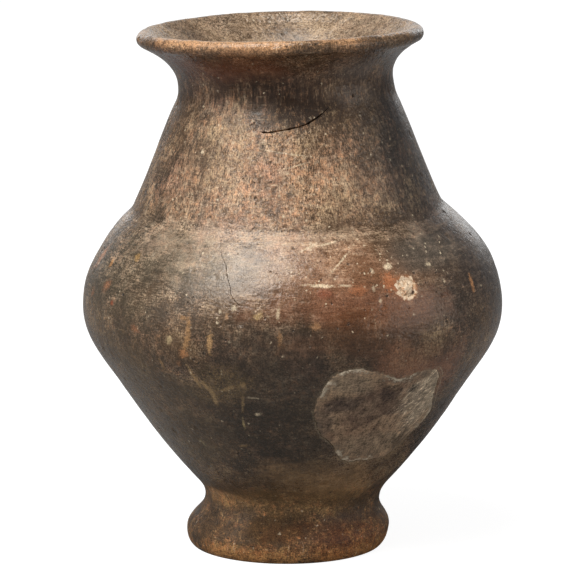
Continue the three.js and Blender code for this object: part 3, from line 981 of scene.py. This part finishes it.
# Small marks: turn, height, half the length and half the width in millimetres, tilt in degrees from level,
# colour and strength.
RUST = 0x8e6144
OCHRE = 0x9c7f58
CREAM = 0xd4bf9f
SOOT = 0x3a312b
MARKS = [
    # the orange run on the left belly, its top and foot, and the smaller runs beside it
    (-29.2, 0.149, 6.5, 1.5, 92, 0x9f7850, 0.8),
    (-30.7, 0.1556, 2.6, 1.2, -12, 0x9f7850, 0.75),
    (-29.9, 0.141, 4.6, 1.6, 72, 0x9f7850, 0.8),
    (-30.8, 0.1352, 2.6, 2.2, 20, 0xac764b, 0.8),
    (-22.7, 0.1432, 5.0, 1.5, 88, 0xb08a5e, 0.75),
    (-39.0, 0.1268, 2.6, 0.9, 105, 0x9c7a52, 0.6),
    (-32.8, 0.1284, 1.8, 1.3, 80, 0x8a6040, 0.5),
    (-3.5, 0.1471, 3.6, 1.4, 88, 0x8f6a48, 0.6),
    (6.1, 0.154, 2.4, 2.2, 0, 0x9d7450, 0.75),
    # rust and ochre on the left side
    (-47.3, 0.1447, 3.2, 1.6, -20, RUST, 0.7),
    (-64.3, 0.1637, 3.6, 2.6, 30, RUST, 0.8),
    (-68.2, 0.1752, 1.6, 2.2, 0, 0xa87748, 0.65),
    (-79.0, 0.175, 6.0, 3.0, 60, 0xb07f5f, 0.7),
    (-73.2, 0.1568, 1.8, 2.4, 0, RUST, 0.6),
    (-59.0, 0.1559, 1.3, 1.2, 0, 0x8f4a2e, 0.7),
    (-55.6, 0.1822, 2.4, 2.0, 0, 0xa8834f, 0.6),
    # ochre worn into branches under the belly
    (-29.0, 0.121, 6.5, 1.1, 110, OCHRE, 0.75),
    (-25.9, 0.115, 5.5, 1.2, 125, OCHRE, 0.8),
    (-24.6, 0.108, 4.5, 1.3, 88, OCHRE, 0.9),
    (-19.5, 0.115, 4.5, 1.0, 20, OCHRE, 0.75),
    (-14.3, 0.1183, 2.0, 1.6, 0, OCHRE, 0.7),
    (-15.6, 0.106, 5.0, 0.8, 78, OCHRE, 0.6),
    (-19.0, 0.0764, 3.0, 0.7, 10, OCHRE, 0.5),
    # cream grit and scratches on the belly and the lower wall
    (-35.1, 0.1422, 2.1, 1.9, 0, 0xb39c76, 0.8),
    (-20.2, 0.161, 0.9, 0.9, 0, CREAM, 0.7),
    (-18.2, 0.1587, 1.0, 2.1, 0, 0xb8906c, 0.7),
    (-16.2, 0.1634, 1.7, 1.4, 0, CREAM, 0.7),
    (-9.4, 0.1595, 2.6, 1.5, 30, 0xb09263, 0.6),
    (-4.0, 0.1612, 2.8, 1.0, 85, 0xc0ac8c, 0.6),
    (-11.3, 0.1098, 3.4, 0.45, -4, CREAM, 0.55),
    (-11.4, 0.0988, 1.8, 0.8, 15, CREAM, 0.8),
    (-16.9, 0.0919, 3.2, 0.7, 88, 0xb09b6f, 0.6),
    (-37.3, 0.0741, 2.2, 0.6, -60, 0xa0906c, 0.6),
    # the neck
    (-42.9, 0.2422, 1.1, 1.1, 0, CREAM, 0.8),
    (-1.3, 0.2223, 2.2, 2.2, 0, SOOT, 0.75),
    (-5.7, 0.2115, 7.0, 1.0, 88, SOOT, 0.6),
    (-3.0, 0.2445, 11.0, 0.4, -8, CREAM, 0.5),
    (1.0, 0.2375, 8.0, 0.4, 14, CREAM, 0.45),
    # scratches on the shoulder
    (8.0, 0.1756, 7.0, 0.8, -4, 0xdcc5a4, 0.9),
    (15.3, 0.1752, 3.6, 0.6, -5, CREAM, 0.6),
    (15.3, 0.1874, 6.6, 0.45, 38, CREAM, 0.6),
    (12.0, 0.1962, 7.0, 0.45, 10, CREAM, 0.6),
    (5.6, 0.1948, 5.0, 0.55, 22, CREAM, 0.6),
    (-30.4, 0.1905, 3.6, 0.5, 86, SOOT, 0.6),
    # round the pit, and the orange spot far to its right
    (30.1, 0.1831, 2.4, 1.3, 20, CREAM, 0.85),
    (24.4, 0.1817, 1.0, 1.3, 0, CREAM, 0.6),
    (44.8, 0.1814, 1.7, 0.9, 0, CREAM, 0.8),
    (48.3, 0.1714, 0.8, 0.8, 0, CREAM, 0.6),
    (23.6, 0.1728, 0.9, 1.6, 0, CREAM, 0.55),
    (25.0, 0.166, 0.8, 0.9, 0, CREAM, 0.7),
    (29.0, 0.1752, 3.6, 4.4, 0, 0xa0633f, 0.85),
    (18.9, 0.1724, 4.4, 2.4, 0, 0x9a613f, 0.7),
    (9.0, 0.1716, 4.0, 2.2, 0, 0x84452f, 0.5),
    (60.8, 0.1665, 4.2, 1.5, 85, 0xb98458, 0.9),
]


def radius_at(height):
    """The true radius of the outer wall at a height."""
    return next((point.x for point in wall.points if point.y >= height), RIM_RADIUS)


def share_group(name, labels, work):
    """A node group that works out a share, from 0 to 1, from the numbers that it is given."""
    tree = bpy.data.node_groups.new(name, "ShaderNodeTree")
    for label in labels:
        tree.interface.new_socket(label, in_out="INPUT", socket_type="NodeSocketFloat")
    tree.interface.new_socket("Share", in_out="OUTPUT", socket_type="NodeSocketFloat")
    given = add(tree, "NodeGroupInput").outputs
    add(tree, "NodeGroupOutput", {"Share": work(*(Number(tree, given[label]) for label in labels))})
    return tree


def stain_share(turn, height, ragged, middle_turn, middle_height, wide, tall):
    """How far a place lies inside a stain with a wandering, ragged edge."""
    across = (turn - middle_turn).step("WRAP", 180.0, -180.0) / wide
    up = (height - middle_height) / tall
    reach = (across * across + up * up).step("SQRT") + ragged
    return reach.falling(0.4, 1.6)


def mark_share(turn, height, ragged, middle_turn, middle_height, arc, long, wide, tilt):
    """How far a place lies inside a small mark on the front, laid along its tilt."""
    across = (turn - middle_turn) * arc
    up = height - middle_height
    cosine, sine = tilt.step("COSINE"), tilt.step("SINE")
    along = (across * cosine + up * sine) / long
    aside = (up * cosine - across * sine) / wide
    reach = (along * along + aside * aside).step("SQRT") + ragged
    return reach.falling(0.4, 1.6)


PLACE = ["Turn", "Height", "Ragged", "Middle Turn", "Middle Height"]
stain_group = share_group("stain", PLACE + ["Wide", "Tall"], stain_share)
mark_group = share_group("small mark", PLACE + ["Arc", "Long", "Wide", "Tilt"], mark_share)


class ClayFace:
    """Where each point of the clay lies, which part of the urn it is on, and the noises that it shares."""

    def __init__(self, tree):
        self.tree = tree
        self.place = add(tree, "ShaderNodeTexCoord").outputs["Object"]
        x, y, self.height = split(tree, self.place)
        self.turn = x.step("ARCTAN2", y * -1.0) * (180 / math.pi)
        self.patches = self.cloud(58.0, 4.0, 0.62)
        self.wander = self.cloud(34.0, 3.0, 0.6)
        self.ragged = self.cloud(330.0, 5.0, 0.85)
        self.edge = self.wander * 2.4 + self.ragged * 0.9
        self.crumbly = self.ragged * 2.8 + self.cloud(1000.0, 2.0, 0.7) * 2.6
        self.inside = self.named("inside")
        above_crease = self.height.rising(crease_height, crease_height + 0.01)
        self.on_neck = above_crease * self.height.falling(throat_height, rim_height)
        self.on_lip = self.height.rising(*(rim_height - drop for drop in LIP_FADE))
        self.on_foot = self.height.falling(*FOOT_FADE)
        self.wiped = on_shoulder(self.height)
        self.drift = self.cloud(30.0, 3.0, 0.6)

    def cloud(self, scale, detail, roughness=0.5):
        return cloudy(self.tree, self.place, scale, detail, roughness)

    def drawn_out(self, up, share, scale, detail, roughness=0.5):
        return cloudy(self.tree, stretched(self.tree, self.place, up, share), scale, detail, roughness)

    def laid(self, colour, share, screen_colour):
        return laid(self.tree, colour, share, screen_colour)

    def share(self, group, ragged, *middle_and_size):
        node = add(self.tree, "ShaderNodeGroup", node_tree=group)
        for value, slot in zip((self.turn, self.height, ragged, *middle_and_size), node.inputs):
            plug(self.tree, value, slot)
        return Number(self.tree, node.outputs[0])

    def spread(self, turn, height, wide, tall):
        return self.share(stain_group, self.edge, turn, height, wide, tall)

    def mark(self, turn, height, long, wide, tilt):
        arc = math.radians(radius_at(height))
        size = (arc, long * MM, wide * MM, math.radians(tilt))
        return self.share(mark_group, self.crumbly, turn, height, *size)

    def named(self, name):
        node = add(self.tree, "ShaderNodeAttribute", attribute_name=name)
        return Number(self.tree, node.outputs["Fac"])


def new_material(name):
    material = bpy.data.materials.new(name)
    material.use_nodes = True
    tree = material.node_tree
    return material, tree, tree.nodes["Principled BSDF"]


def shaded(tree, colour, factor):
    return vector_step(tree, "SCALE", colour, factor)


def embossed(tree, shader, surface, strength, distance):
    """Raises and sinks a material's surface in its shading."""
    bump = add(tree, "ShaderNodeBump", {"Height": surface, "Strength": strength, "Distance": distance})
    plug(tree, bump.outputs[0], shader.inputs["Normal"])


def lime_crust(tree, place):
    """The colour of crumbled lime, with rust in it and the painted shade of a hole at its edge, and how it
    is crumbled.
    """
    crumbs = cloudy(tree, place, 420.0, 5.0, 0.75)
    rust = cloudy(tree, place, 260.0, 3.0, 0.65)
    colour = mixed(tree, crumbs.rising(-0.2, 0.10), tone(SHADED_LIME), tone(LIME))
    colour = laid(tree, colour, rust.rising(0.05, 0.15) * 0.6, RUSTY_LIME)
    # painted shade: a dark spot where a hole beside the lime lies in shadow
    hole_shade_middle = built(*round_place(PIT_TURN + 1.6, PIT_CLIMB - 0.0028, 0.0)[0])
    from_hole = vector_step(tree, "DISTANCE", place, hole_shade_middle) + crumbs * 0.002
    return laid(tree, colour, from_hole.falling(0.0008, 0.0017) * 0.9, HOLE_SHADE), crumbs


def stained_and_painted_skin(face):
    """The skin's colour with its stains and painted shading, the calm that they bring to the grain, and how
    matt it is.
    """
    skin = mixed(face.tree, face.drift.rising(-0.16, 0.16), tone(DARK_SKIN), tone(BROWN_SKIN))
    calm = matt_share = 0.0
    for name, (turn, level, wide, tall, colour, strength, hidden) in STAINS_AND_PAINTED_SHADING.items():
        share = face.spread(turn, level, wide, tall)
        skin = face.laid(skin, share * strength, colour)
        if hidden:
            calm = share * hidden + calm
        if "soot" in name:
            matt_share = share + matt_share
    return skin, calm.step("MINIMUM", 0.7), matt_share


class Grain:
    """What breaks up every colour: fine and even, drawn upwards on the neck and level on the shoulder."""

    def __init__(self, face, calm):
        self.even = face.cloud(950.0, 3.0, 0.85)
        up_grain = face.drawn_out(True, 0.16, 1300.0, 3.0, 0.8)
        up_strokes = face.drawn_out(True, 0.13, 380.0, 4.0, 0.75)
        level_grain = face.drawn_out(False, 0.16, 1300.0, 3.0, 0.8)
        level_strokes = face.drawn_out(False, 0.13, 400.0, 4.0, 0.75)
        self.rough = self.even * (1.7 - face.on_neck) + up_grain * (face.on_neck * 1.5 + 0.7)
        self.rough = self.rough + level_grain * (face.wiped * 0.9 + 0.6)
        self.seen = self.rough * (1.0 - calm) * (1.0 + face.patches * 2.6)
        self.strokes = up_strokes * (face.on_neck * 1.4 + 0.3) + level_strokes * (face.wiped * 0.7 + 0.3)
        self.mottle = face.cloud(210.0, 4.0, 0.8)
        patchy = self.mottle * (face.on_foot * 1.2 + 1.1) + face.patches * (face.on_foot * 0.6 + 1.0)
        self.broken = patchy * (1.0 - calm * 0.6) + face.ragged * face.on_foot * 1.6


def bare_share(face, grain):
    """How much of the dark skin is gone, more where a highlight is painted at the crease, less where shade
    is painted under and inside the lip.
    """
    worn = 0.05 + face.on_lip * 0.16 + face.inside * 0.45
    for turn, level, wide, tall, amount in WEAR_AND_PAINTED_SHADING.values():
        worn = worn + face.spread(turn, level, wide, tall) * amount
    return (worn + grain.seen * 1.25 + grain.strokes * 1.1 + grain.broken).rising(-0.12, 1.12)


def clay_body(face, hue, skin):
    """The tan clay under the skin, which takes a little of the skin's own colour."""
    body = mixed(face.tree, hue.rising(-0.12, 0.12), tone(TAN_CLAY), tone(ORANGE_CLAY))
    body = face.laid(body, face.drift.rising(-0.05, 0.15) * 0.7, OLIVE_CLAY)
    body = face.laid(body, face.drift.falling(-0.15, -0.03) * 0.5, PINK_CLAY)
    body = face.laid(body, face.on_lip * face.spread(*RUBBED_LIP), RUBBED_LIP_CLAY)
    body = face.laid(body, face.wiped * 0.5, GREY_SHOULDER_CLAY)
    body = face.laid(body, face.inside * 0.75, INNER_CLAY)
    low = mixed(face.tree, hue.rising(-0.08, 0.10), tone(OCHRE_FOOT_CLAY), tone(RED_FOOT_CLAY))
    body = mixed(face.tree, face.height.falling(*LOW_CLAY_FADE) * 0.75, body, low)
    body = face.laid(body, face.height.falling(*FOOT_EDGE_FADE) * 0.7, FOOT_EDGE_CLAY)
    return mixed(face.tree, 0.35, body, shaded(face.tree, skin, 2.2))


def scratched(face, colour, bare, calm):
    """Fine scratches, upright and level, where the surface is rubbed."""
    upright = face.drawn_out(True, 0.07, 900.0, 2.0).rising(0.10, 0.24)
    level = face.drawn_out(False, 0.08, 1000.0, 2.0).rising(0.10, 0.24)
    share = upright * face.patches.rising(-0.02, 0.12) + level * face.patches.falling(-0.12, 0.04)
    share = share * (bare * 0.5 + face.on_neck * 0.12 + 0.16) * (1.0 - calm * 0.5)
    return face.laid(colour, share, SCRATCH)


def with_marks(face, colour, grain, calm):
    """The worn branches under the belly, the small marks, and the grain's light and dark over them all."""
    veins = (face.ragged + grain.even * 0.3).step("ABSOLUTE").falling(0.0, 0.045)
    colour = face.laid(colour, veins * face.spread(*BRANCHED) * 0.5, BRANCHES)
    fine = face.cloud(1500.0, 2.0, 0.9)
    crisp = fine * (1.9 + calm * 1.7 + face.on_foot * 1.7 + face.on_lip * 1.4)
    tonal = 1.0 + crisp + grain.seen + grain.mottle * 0.9 + face.patches * 0.7 + grain.strokes * 0.7
    tonal = tonal + face.ragged * face.on_foot * 1.5
    for *where, mark_colour, strength in MARKS:
        colour = face.laid(colour, face.mark(*where) * strength, mark_colour)
    return shaded(face.tree, colour, tonal)


def gritty(face, colour, hue):
    """Lime and grit in the clay, and the holes that lost grains left, painted dark as the shade in them."""
    swirl = add(face.tree, "ShaderNodeTexNoise", {"Vector": face.place, "Scale": 800.0}).outputs["Color"]
    loose = vector_step(face.tree, "ADD", face.place, vector_step(face.tree, "SCALE", swirl, 0.0022))
    chosen = face.spread(*GRITTY_SHOULDER) * 0.3 + face.on_neck * 0.05 + 0.05
    grit = specks(face.tree, loose, 460.0, chosen, 0.08, 0.32)
    colour = face.laid(colour, grit * (hue * 3.0 + 0.6), GRIT)
    # painted shade: the holes are sunk in the bump and painted dark as well
    holes = specks(face.tree, face.place, 320.0, 0.12, 0.06, 0.24)
    return face.laid(colour, holes * 0.7, GRAIN_HOLE_SHADE), holes


def spalled(face, colour, hue):
    """The clay's orange core round the spalled pit, and the lime that has crumbled over it inside."""
    middle = built(*round_place(PIT_TURN, PIT_CLIMB, 0.0)[0])
    from_pit = vector_step(face.tree, "DISTANCE", face.place, middle) + face.ragged * 0.006
    core = mixed(face.tree, hue.rising(-0.1, 0.15), tone(CORE_CLAY), tone(PALE_CORE_CLAY))
    near = (from_pit + (face.turn - PIT_TURN) * 0.0003).falling(0.0060, 0.0092)
    colour = mixed(face.tree, near * 0.75, colour, core)
    crust, _ = lime_crust(face.tree, face.place)
    return mixed(face.tree, (from_pit + hue * 0.014).falling(0.0060, 0.0072) * 0.92, colour, crust)


def plaster_smeared(face, colour, grain):
    """Plaster smeared on the clay beside the fill, and the knife's line on its right."""
    by_fill = face.named("by_fill")
    smear = (by_fill + face.ragged * 0.009 + grain.mottle * 0.004).falling(-0.0004, 0.0014)
    knife_line = (by_fill + face.wander * 0.001 - 0.0021).step("ABSOLUTE").falling(0.0001, 0.00045)
    knife_line = knife_line * face.turn.rising(*KNIFE_LINE_TURNS) * face.height.rising(*KNIFE_LINE_HEIGHTS)
    return face.laid(colour, smear * 0.4 + knife_line * 0.7, SMEARED_PLASTER)


def fired_clay():
    """Burnished, smoke-darkened skin over tan clay, worn through in specks, strokes and patches, with some
    highlight, sheen and shade painted in.
    """
    material, tree, shader = new_material("fired_clay")
    face = ClayFace(tree)
    skin, calm, matt_share = stained_and_painted_skin(face)
    grain = Grain(face, calm)
    bare = bare_share(face, grain)
    hue = face.cloud(280.0, 3.0, 0.7)
    colour = mixed(tree, bare, skin, clay_body(face, hue, skin))
    colour = scratched(face, colour, bare, calm)
    colour = with_marks(face, colour, grain, calm)
    colour, holes = gritty(face, colour, hue)
    colour = spalled(face, colour, hue)
    plug(tree, plaster_smeared(face, colour, grain), shader.inputs["Base Color"])

    rough = 0.26 + bare * 0.13 + grain.mottle * 0.3 + grain.seen * 0.12 + matt_share * 0.4
    plug(tree, rough + face.on_foot * 0.3 - face.on_lip * 0.07, shader.inputs["Roughness"])
    plug(tree, (1.0, 0.92, 0.83, 1.0), shader.inputs["Specular Tint"])
    dents = face.cloud(520.0, 1.0) * (face.on_lip * 0.5 + face.on_foot * 0.5 + 0.65)
    surface = dents + grain.rough * 0.12 + grain.strokes * 0.5 - holes * 1.2
    surface = surface + grain.mottle * (face.on_foot * 0.8 + 0.4)
    embossed(tree, shader, surface, 0.9 - calm * 0.4, 0.0006)
    return material


# Where the fill's rim has crumbled pale, and its darker and lighter smears: across, up, half its width, half
# its height, all in millimetres from its middle, then colour and strength.
CRUMBLED = [
    (-25, 36, 6, 5), (-37, 24, 5, 6), (-12, -37, 15, 6), (-22, -32, 5, 5), (40, 2, 8, 20), (0, 29, 8, 4),
]
SMEARS = [
    (-8, 8, 24, 14, 0x5f4c40, 0.6),
    (-2, 17, 7, 6, 0x45352d, 0.75),
    (-26, 12, 9, 7, 0x50433b, 0.6),
    (26, 10, 15, 26, 0xae9d86, 0.7),
    (-26, 28, 14, 9, 0x94836c, 0.55),
    (2, -25, 30, 11, 0x8f7d66, 0.5),
    (-36, 0, 6, 12, 0x5a4e44, 0.5),
    (30, -26, 14, 10, 0x5a4a3a, 0.6),
    (10, 30, 16, 5, 0x5c4a3c, 0.5),
]


def fill_plaster():
    """Toned plaster, smeared darker in the middle and rubbed pale along its edges and scrapes."""
    material, tree, shader = new_material("fill_plaster")
    flat = add(tree, "ShaderNodeAttribute", attribute_name="flat").outputs["Vector"]
    by_fill = Number(tree, add(tree, "ShaderNodeAttribute", attribute_name="by_fill").outputs["Fac"])
    across, up, _ = split(tree, flat)
    slant = (0, 0, math.radians(SCRAPE_SLANT))
    slanted = add(tree, "ShaderNodeMapping", {"Vector": flat, "Rotation": slant}).outputs[0]
    strokes = cloudy(tree, vector_step(tree, "MULTIPLY", slanted, (0.16, 1.0, 1.0)), 560.0, 3.0, 0.7)
    wander = cloudy(tree, flat, 80.0, 4.0, 0.65)
    mottle = cloudy(tree, flat, 190.0, 3.0, 0.7)
    fine = cloudy(tree, flat, 1100.0, 3.0, 0.8)
    weave = cloudy(tree, vector_step(tree, "MULTIPLY", flat, (0.15, 1.0, 1.0)), 850.0, 2.0)
    weave = weave + cloudy(tree, vector_step(tree, "MULTIPLY", flat, (1.0, 0.15, 1.0)), 850.0, 2.0)

    def patch(place_across, place_up, wide, tall, ragged=1.6):
        side = (across - place_across * MM) / (wide * MM)
        rise = (up - place_up * MM) / (tall * MM)
        reach = (side * side + rise * rise).step("SQRT") + wander * ragged + mottle * ragged * 0.6
        return reach.falling(0.5, 1.4)

    colour = mixed(tree, wander.rising(-0.15, 0.15), tone(PLASTER), tone(LIGHT_PLASTER))
    for *place, smear_colour, strength in SMEARS:
        colour = laid(tree, colour, patch(*place) * strength, smear_colour)
    pale_strokes = (strokes + mottle * 0.4).rising(0.03, 0.12) * patch(27, 9, 20, 30)
    colour = laid(tree, colour, pale_strokes * 0.85, SCRAPED_PLASTER)
    colour = laid(tree, colour, strokes.rising(0.02, 0.3) * 0.3, WORN_PLASTER)
    colour = shaded(tree, colour, 1.0 + fine * 3.4 + mottle * 2.6 + strokes * 1.2 + weave * 1.2)
    crumbled = 0.0
    for place in CRUMBLED:
        crumbled = crumbled + patch(*place, ragged=1.2)
    crumbled = (by_fill + mottle * 0.024 + fine * 0.018).falling(0.0, 0.0026) * (crumbled * 1.8 + 0.08)
    colour = laid(tree, colour, crumbled.step("MINIMUM", 0.9), CRUMBLED_PLASTER)
    plug(tree, colour, shader.inputs["Base Color"])
    plug(tree, 0.68 + fine * 0.2 + strokes * 0.15, shader.inputs["Roughness"])
    plug(tree, 0.35, shader.inputs["Specular IOR Level"])
    surface = fine * 0.5 + mottle * 1.5 + strokes * 0.9 + weave * 0.3 + crumbled * 0.5
    embossed(tree, shader, surface, 0.9, 0.0006)
    return material


def chalky_lime():
    """Crumbling lime, cream with rust where the clay stained it."""
    material, tree, shader = new_material("chalky_lime")
    colour, crumbs = lime_crust(tree, add(tree, "ShaderNodeTexCoord").outputs["Object"])
    plug(tree, colour, shader.inputs["Base Color"])
    plug(tree, 0.85, shader.inputs["Roughness"])
    embossed(tree, shader, crumbs, 0.9, 0.0012)
    return material


# The pieces

def finished(piece, node, slot):
    facing_out(piece)
    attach(piece, "root")
    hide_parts(node)


def strips(start, end, count):
    joints = evenly(start, end, count)
    return list(zip(joints, joints[1:]))


def clay_sections():
    """The section and the material slot of each clay piece."""
    slab_edge = at["waist"] + SLAB_EDGE_RISE
    belly_low, belly_high = at["belly"] - BELLY_STRIP_REACH, at["belly"] + BELLY_STRIP_REACH
    flare_start = at["throat"] - FLARE_START_DROP
    lip_joint = at["lip"] - LIP_JOINT_DROP
    sections = {
        "foot_ring": (foot_ring_section(), "foot_clay"),
        "floor_slab": (floor_slab_section(), "foot_clay"),
    }
    for k, strip in enumerate(strips(slab_edge, belly_low, LOWER_STRIPS)):
        sections[f"lower_wall_strip_{k + 1}"] = (strip_section(*strip), "lower_clay")
    sections["belly_strip"] = (strip_section(belly_low, belly_high), "lower_clay")
    sections["shoulder_strip"] = (strip_section(belly_high, at["neck_start"]), "shoulder_clay")
    for k, strip in enumerate(strips(at["neck_start"], flare_start, NECK_STRIPS)):
        sections[f"neck_strip_{k + 1}"] = (strip_section(*strip), "neck_clay")
    sections["rim_flare_strip"] = (strip_section(flare_start, lip_joint), "neck_clay")
    sections["lip_coil"] = (lip_coil_section(), "lip_clay")
    return sections


def fill_edge_loop():
    line = [on_fill(flat, 0.0) for flat in fill_outline()]
    holder = marked_mesh(
        "fill_edge", [place for place, _ in line], ring_edges(len(line)), [],
        outward=[way for _, way in line], on_wall=[place for place, _ in line], skin=[1.0] * len(line),
    )
    return run(worked_clay, holder, "fill_edge", relief=1.0)


fill_edge = fill_edge_loop()
clay = fired_clay()
plaster = fill_plaster()

fill_cut = fill_hole()
rim_cut = crack("rim_crack", RIM_CRACK, RIM_CRACK_WIDTH, RIM_CRACK_DEPTH)
shoulder_cut = crack("shoulder_crack", SHOULDER_CRACK, SHOULDER_CRACK_WIDTH, SHOULDER_CRACK_DEPTH)
pit_cut = pit_cutter()
socket_cut = lime_ball("lime_socket", LUMP_GAP)
CUTS = {
    "lower_wall_strip_2": [fill_cut],
    "lower_wall_strip_3": [fill_cut],
    "lower_wall_strip_4": [fill_cut],
    "belly_strip": [fill_cut, shoulder_cut, pit_cut, socket_cut],
    "shoulder_strip": [pit_cut, socket_cut, shoulder_cut],
    "neck_strip_2": [rim_cut],
    "rim_flare_strip": [rim_cut],
}

for node_name, (section, slot_name) in clay_sections().items():
    piece = swept("worked_" + node_name, section, clay)
    if node_name in CUTS:
        piece = carved(facing_out(piece), *CUTS[node_name])
    finished(piece, node_name, slot_name)

fill = run(worked_clay, fill_plug(), "scraped_repair_fill", relief=1.0, fill_edge=fill_edge, clay=plaster)
finished(fill, "repair_fill", "fill_plaster")

lime = lime_ball("crumbled_lime_lump", 0.0)
lime.data.materials.clear()
lime.data.materials.append(chalky_lime())
lime.data.shade_smooth()
finished(lime, "lime_lump", "lime")

for tool in (fill_cut, rim_cut, shoulder_cut, pit_cut, socket_cut, fill_edge):
    bpy.data.objects.remove(tool)


# The camera, at the photograph's angle

CAMERA_DISTANCE = 3.0
CAMERA_DOWN_ANGLE = 11.5
CAMERA_AIM = Vector((-0.00436, 0.0, 0.1536))
PIXELS_PER_RADIAN = 5138.8
PHOTO_WIDTH = 570
SENSOR = 36.0


def camera():
    data = bpy.data.cameras.new("camera")
    data.sensor_width = SENSOR
    data.lens = SENSOR * PIXELS_PER_RADIAN / PHOTO_WIDTH
    data.clip_end = 20
    angle = math.radians(CAMERA_DOWN_ANGLE)
    body = shown(bpy.data.objects.new("camera", data))
    body.location = CAMERA_AIM + CAMERA_DISTANCE * Vector((0, -math.cos(angle), math.sin(angle)))
    body.rotation_euler = (math.pi / 2 - angle, 0, 0)
    bpy.context.scene.camera = body


def softbox(name, place, aim, size, watts):
    data = bpy.data.lights.new(name, "AREA")
    data.shape = "RECTANGLE"
    data.size, data.size_y = size
    data.energy = watts
    lamp = shown(bpy.data.objects.new(name, data))
    lamp.location = place
    lamp.rotation_euler = (Vector(aim) - Vector(place)).to_track_quat("-Z", "Y").to_euler()


def surroundings():
    """Dim white walls, and the white backdrop behind the urn that its edges mirror."""
    world = bpy.data.worlds.new("white_studio")
    bpy.context.scene.world = world
    world.use_nodes = True
    tree = world.node_tree
    path = add(tree, "ShaderNodeLightPath")
    seen = Number(tree, path.outputs["Is Camera Ray"])
    mirrored = Number(tree, path.outputs["Is Glossy Ray"])
    way = split(tree, add(tree, "ShaderNodeTexCoord").outputs["Generated"])
    backdrop = way[1].rising(0.80, 0.98)
    plain = 0.26 + mirrored * (backdrop * 0.8 - 0.08)
    background = tree.nodes["Background"]
    background.inputs["Color"].default_value = (1, 1, 1, 1)
    plug(tree, plain * (1.0 - seen) + seen, background.inputs["Strength"])


def ground():
    """A pale floor that the camera sees as white where the light falls, with the urn's own soft shadow, and
    a patch behind the urn that glows only for mirrored rays, which paints a reflection on the urn's edges.
    """
    material, tree, shader = new_material("pale_floor")
    settings = {
        "Base Color": (0.26, 0.26, 0.26, 1), "Roughness": 0.9, "Specular IOR Level": 0.0,
        "Emission Color": (1, 1, 1, 1),
    }
    for name, value in settings.items():
        plug(tree, value, shader.inputs[name])
    path = add(tree, "ShaderNodeLightPath")
    seen = Number(tree, path.outputs["Is Camera Ray"])
    mirrored = Number(tree, path.outputs["Is Glossy Ray"])
    across, away, _ = split(tree, add(tree, "ShaderNodeTexCoord").outputs["Object"])
    aside = across.step("ABSOLUTE") / (away + 0.1).step("ABSOLUTE")
    # painted reflection: the floor behind the urn glows for mirrored rays only
    lit_behind = away.rising(0.1, 0.6) * aside.falling(0.3, 0.9)
    plug(tree, seen * 0.92 + mirrored * lit_behind * 0.1, shader.inputs["Emission Strength"])
    mesh = bpy.data.meshes.new("floor")
    reach = 8.0
    corners = [(-reach, -reach, 0), (reach, -reach, 0), (reach, reach, 0), (-reach, reach, 0)]
    mesh.from_pydata(corners, [], [(0, 1, 2, 3)])
    mesh.materials.append(material)
    shown(bpy.data.objects.new("floor", mesh))


camera()
softbox("key", (-1.2, -1.5, 2.3), (0, 0, 0.17), (1.6, 1.3), 56)
softbox("overhead", (-0.5, -0.6, 2.3), (0, 0, 0.17), (1.1, 0.9), 32)
softbox("left_side", (-2.2, -0.9, 0.9), (0, 0, 0.15), (1.6, 1.4), 9)
softbox("right_side", (2.2, -0.8, 0.5), (0, 0, 0.12), (1.7, 1.2), 11)
softbox("rim_right", (0.65, 2.1, 0.65), (0, 0, 0.2), (0.35, 1.0), 1.5)
softbox("rim_left", (-0.65, 2.1, 0.65), (0, 0, 0.2), (0.3, 1.0), 1)
surroundings()
ground()
bpy.context.scene.view_settings.view_transform = "Standard"
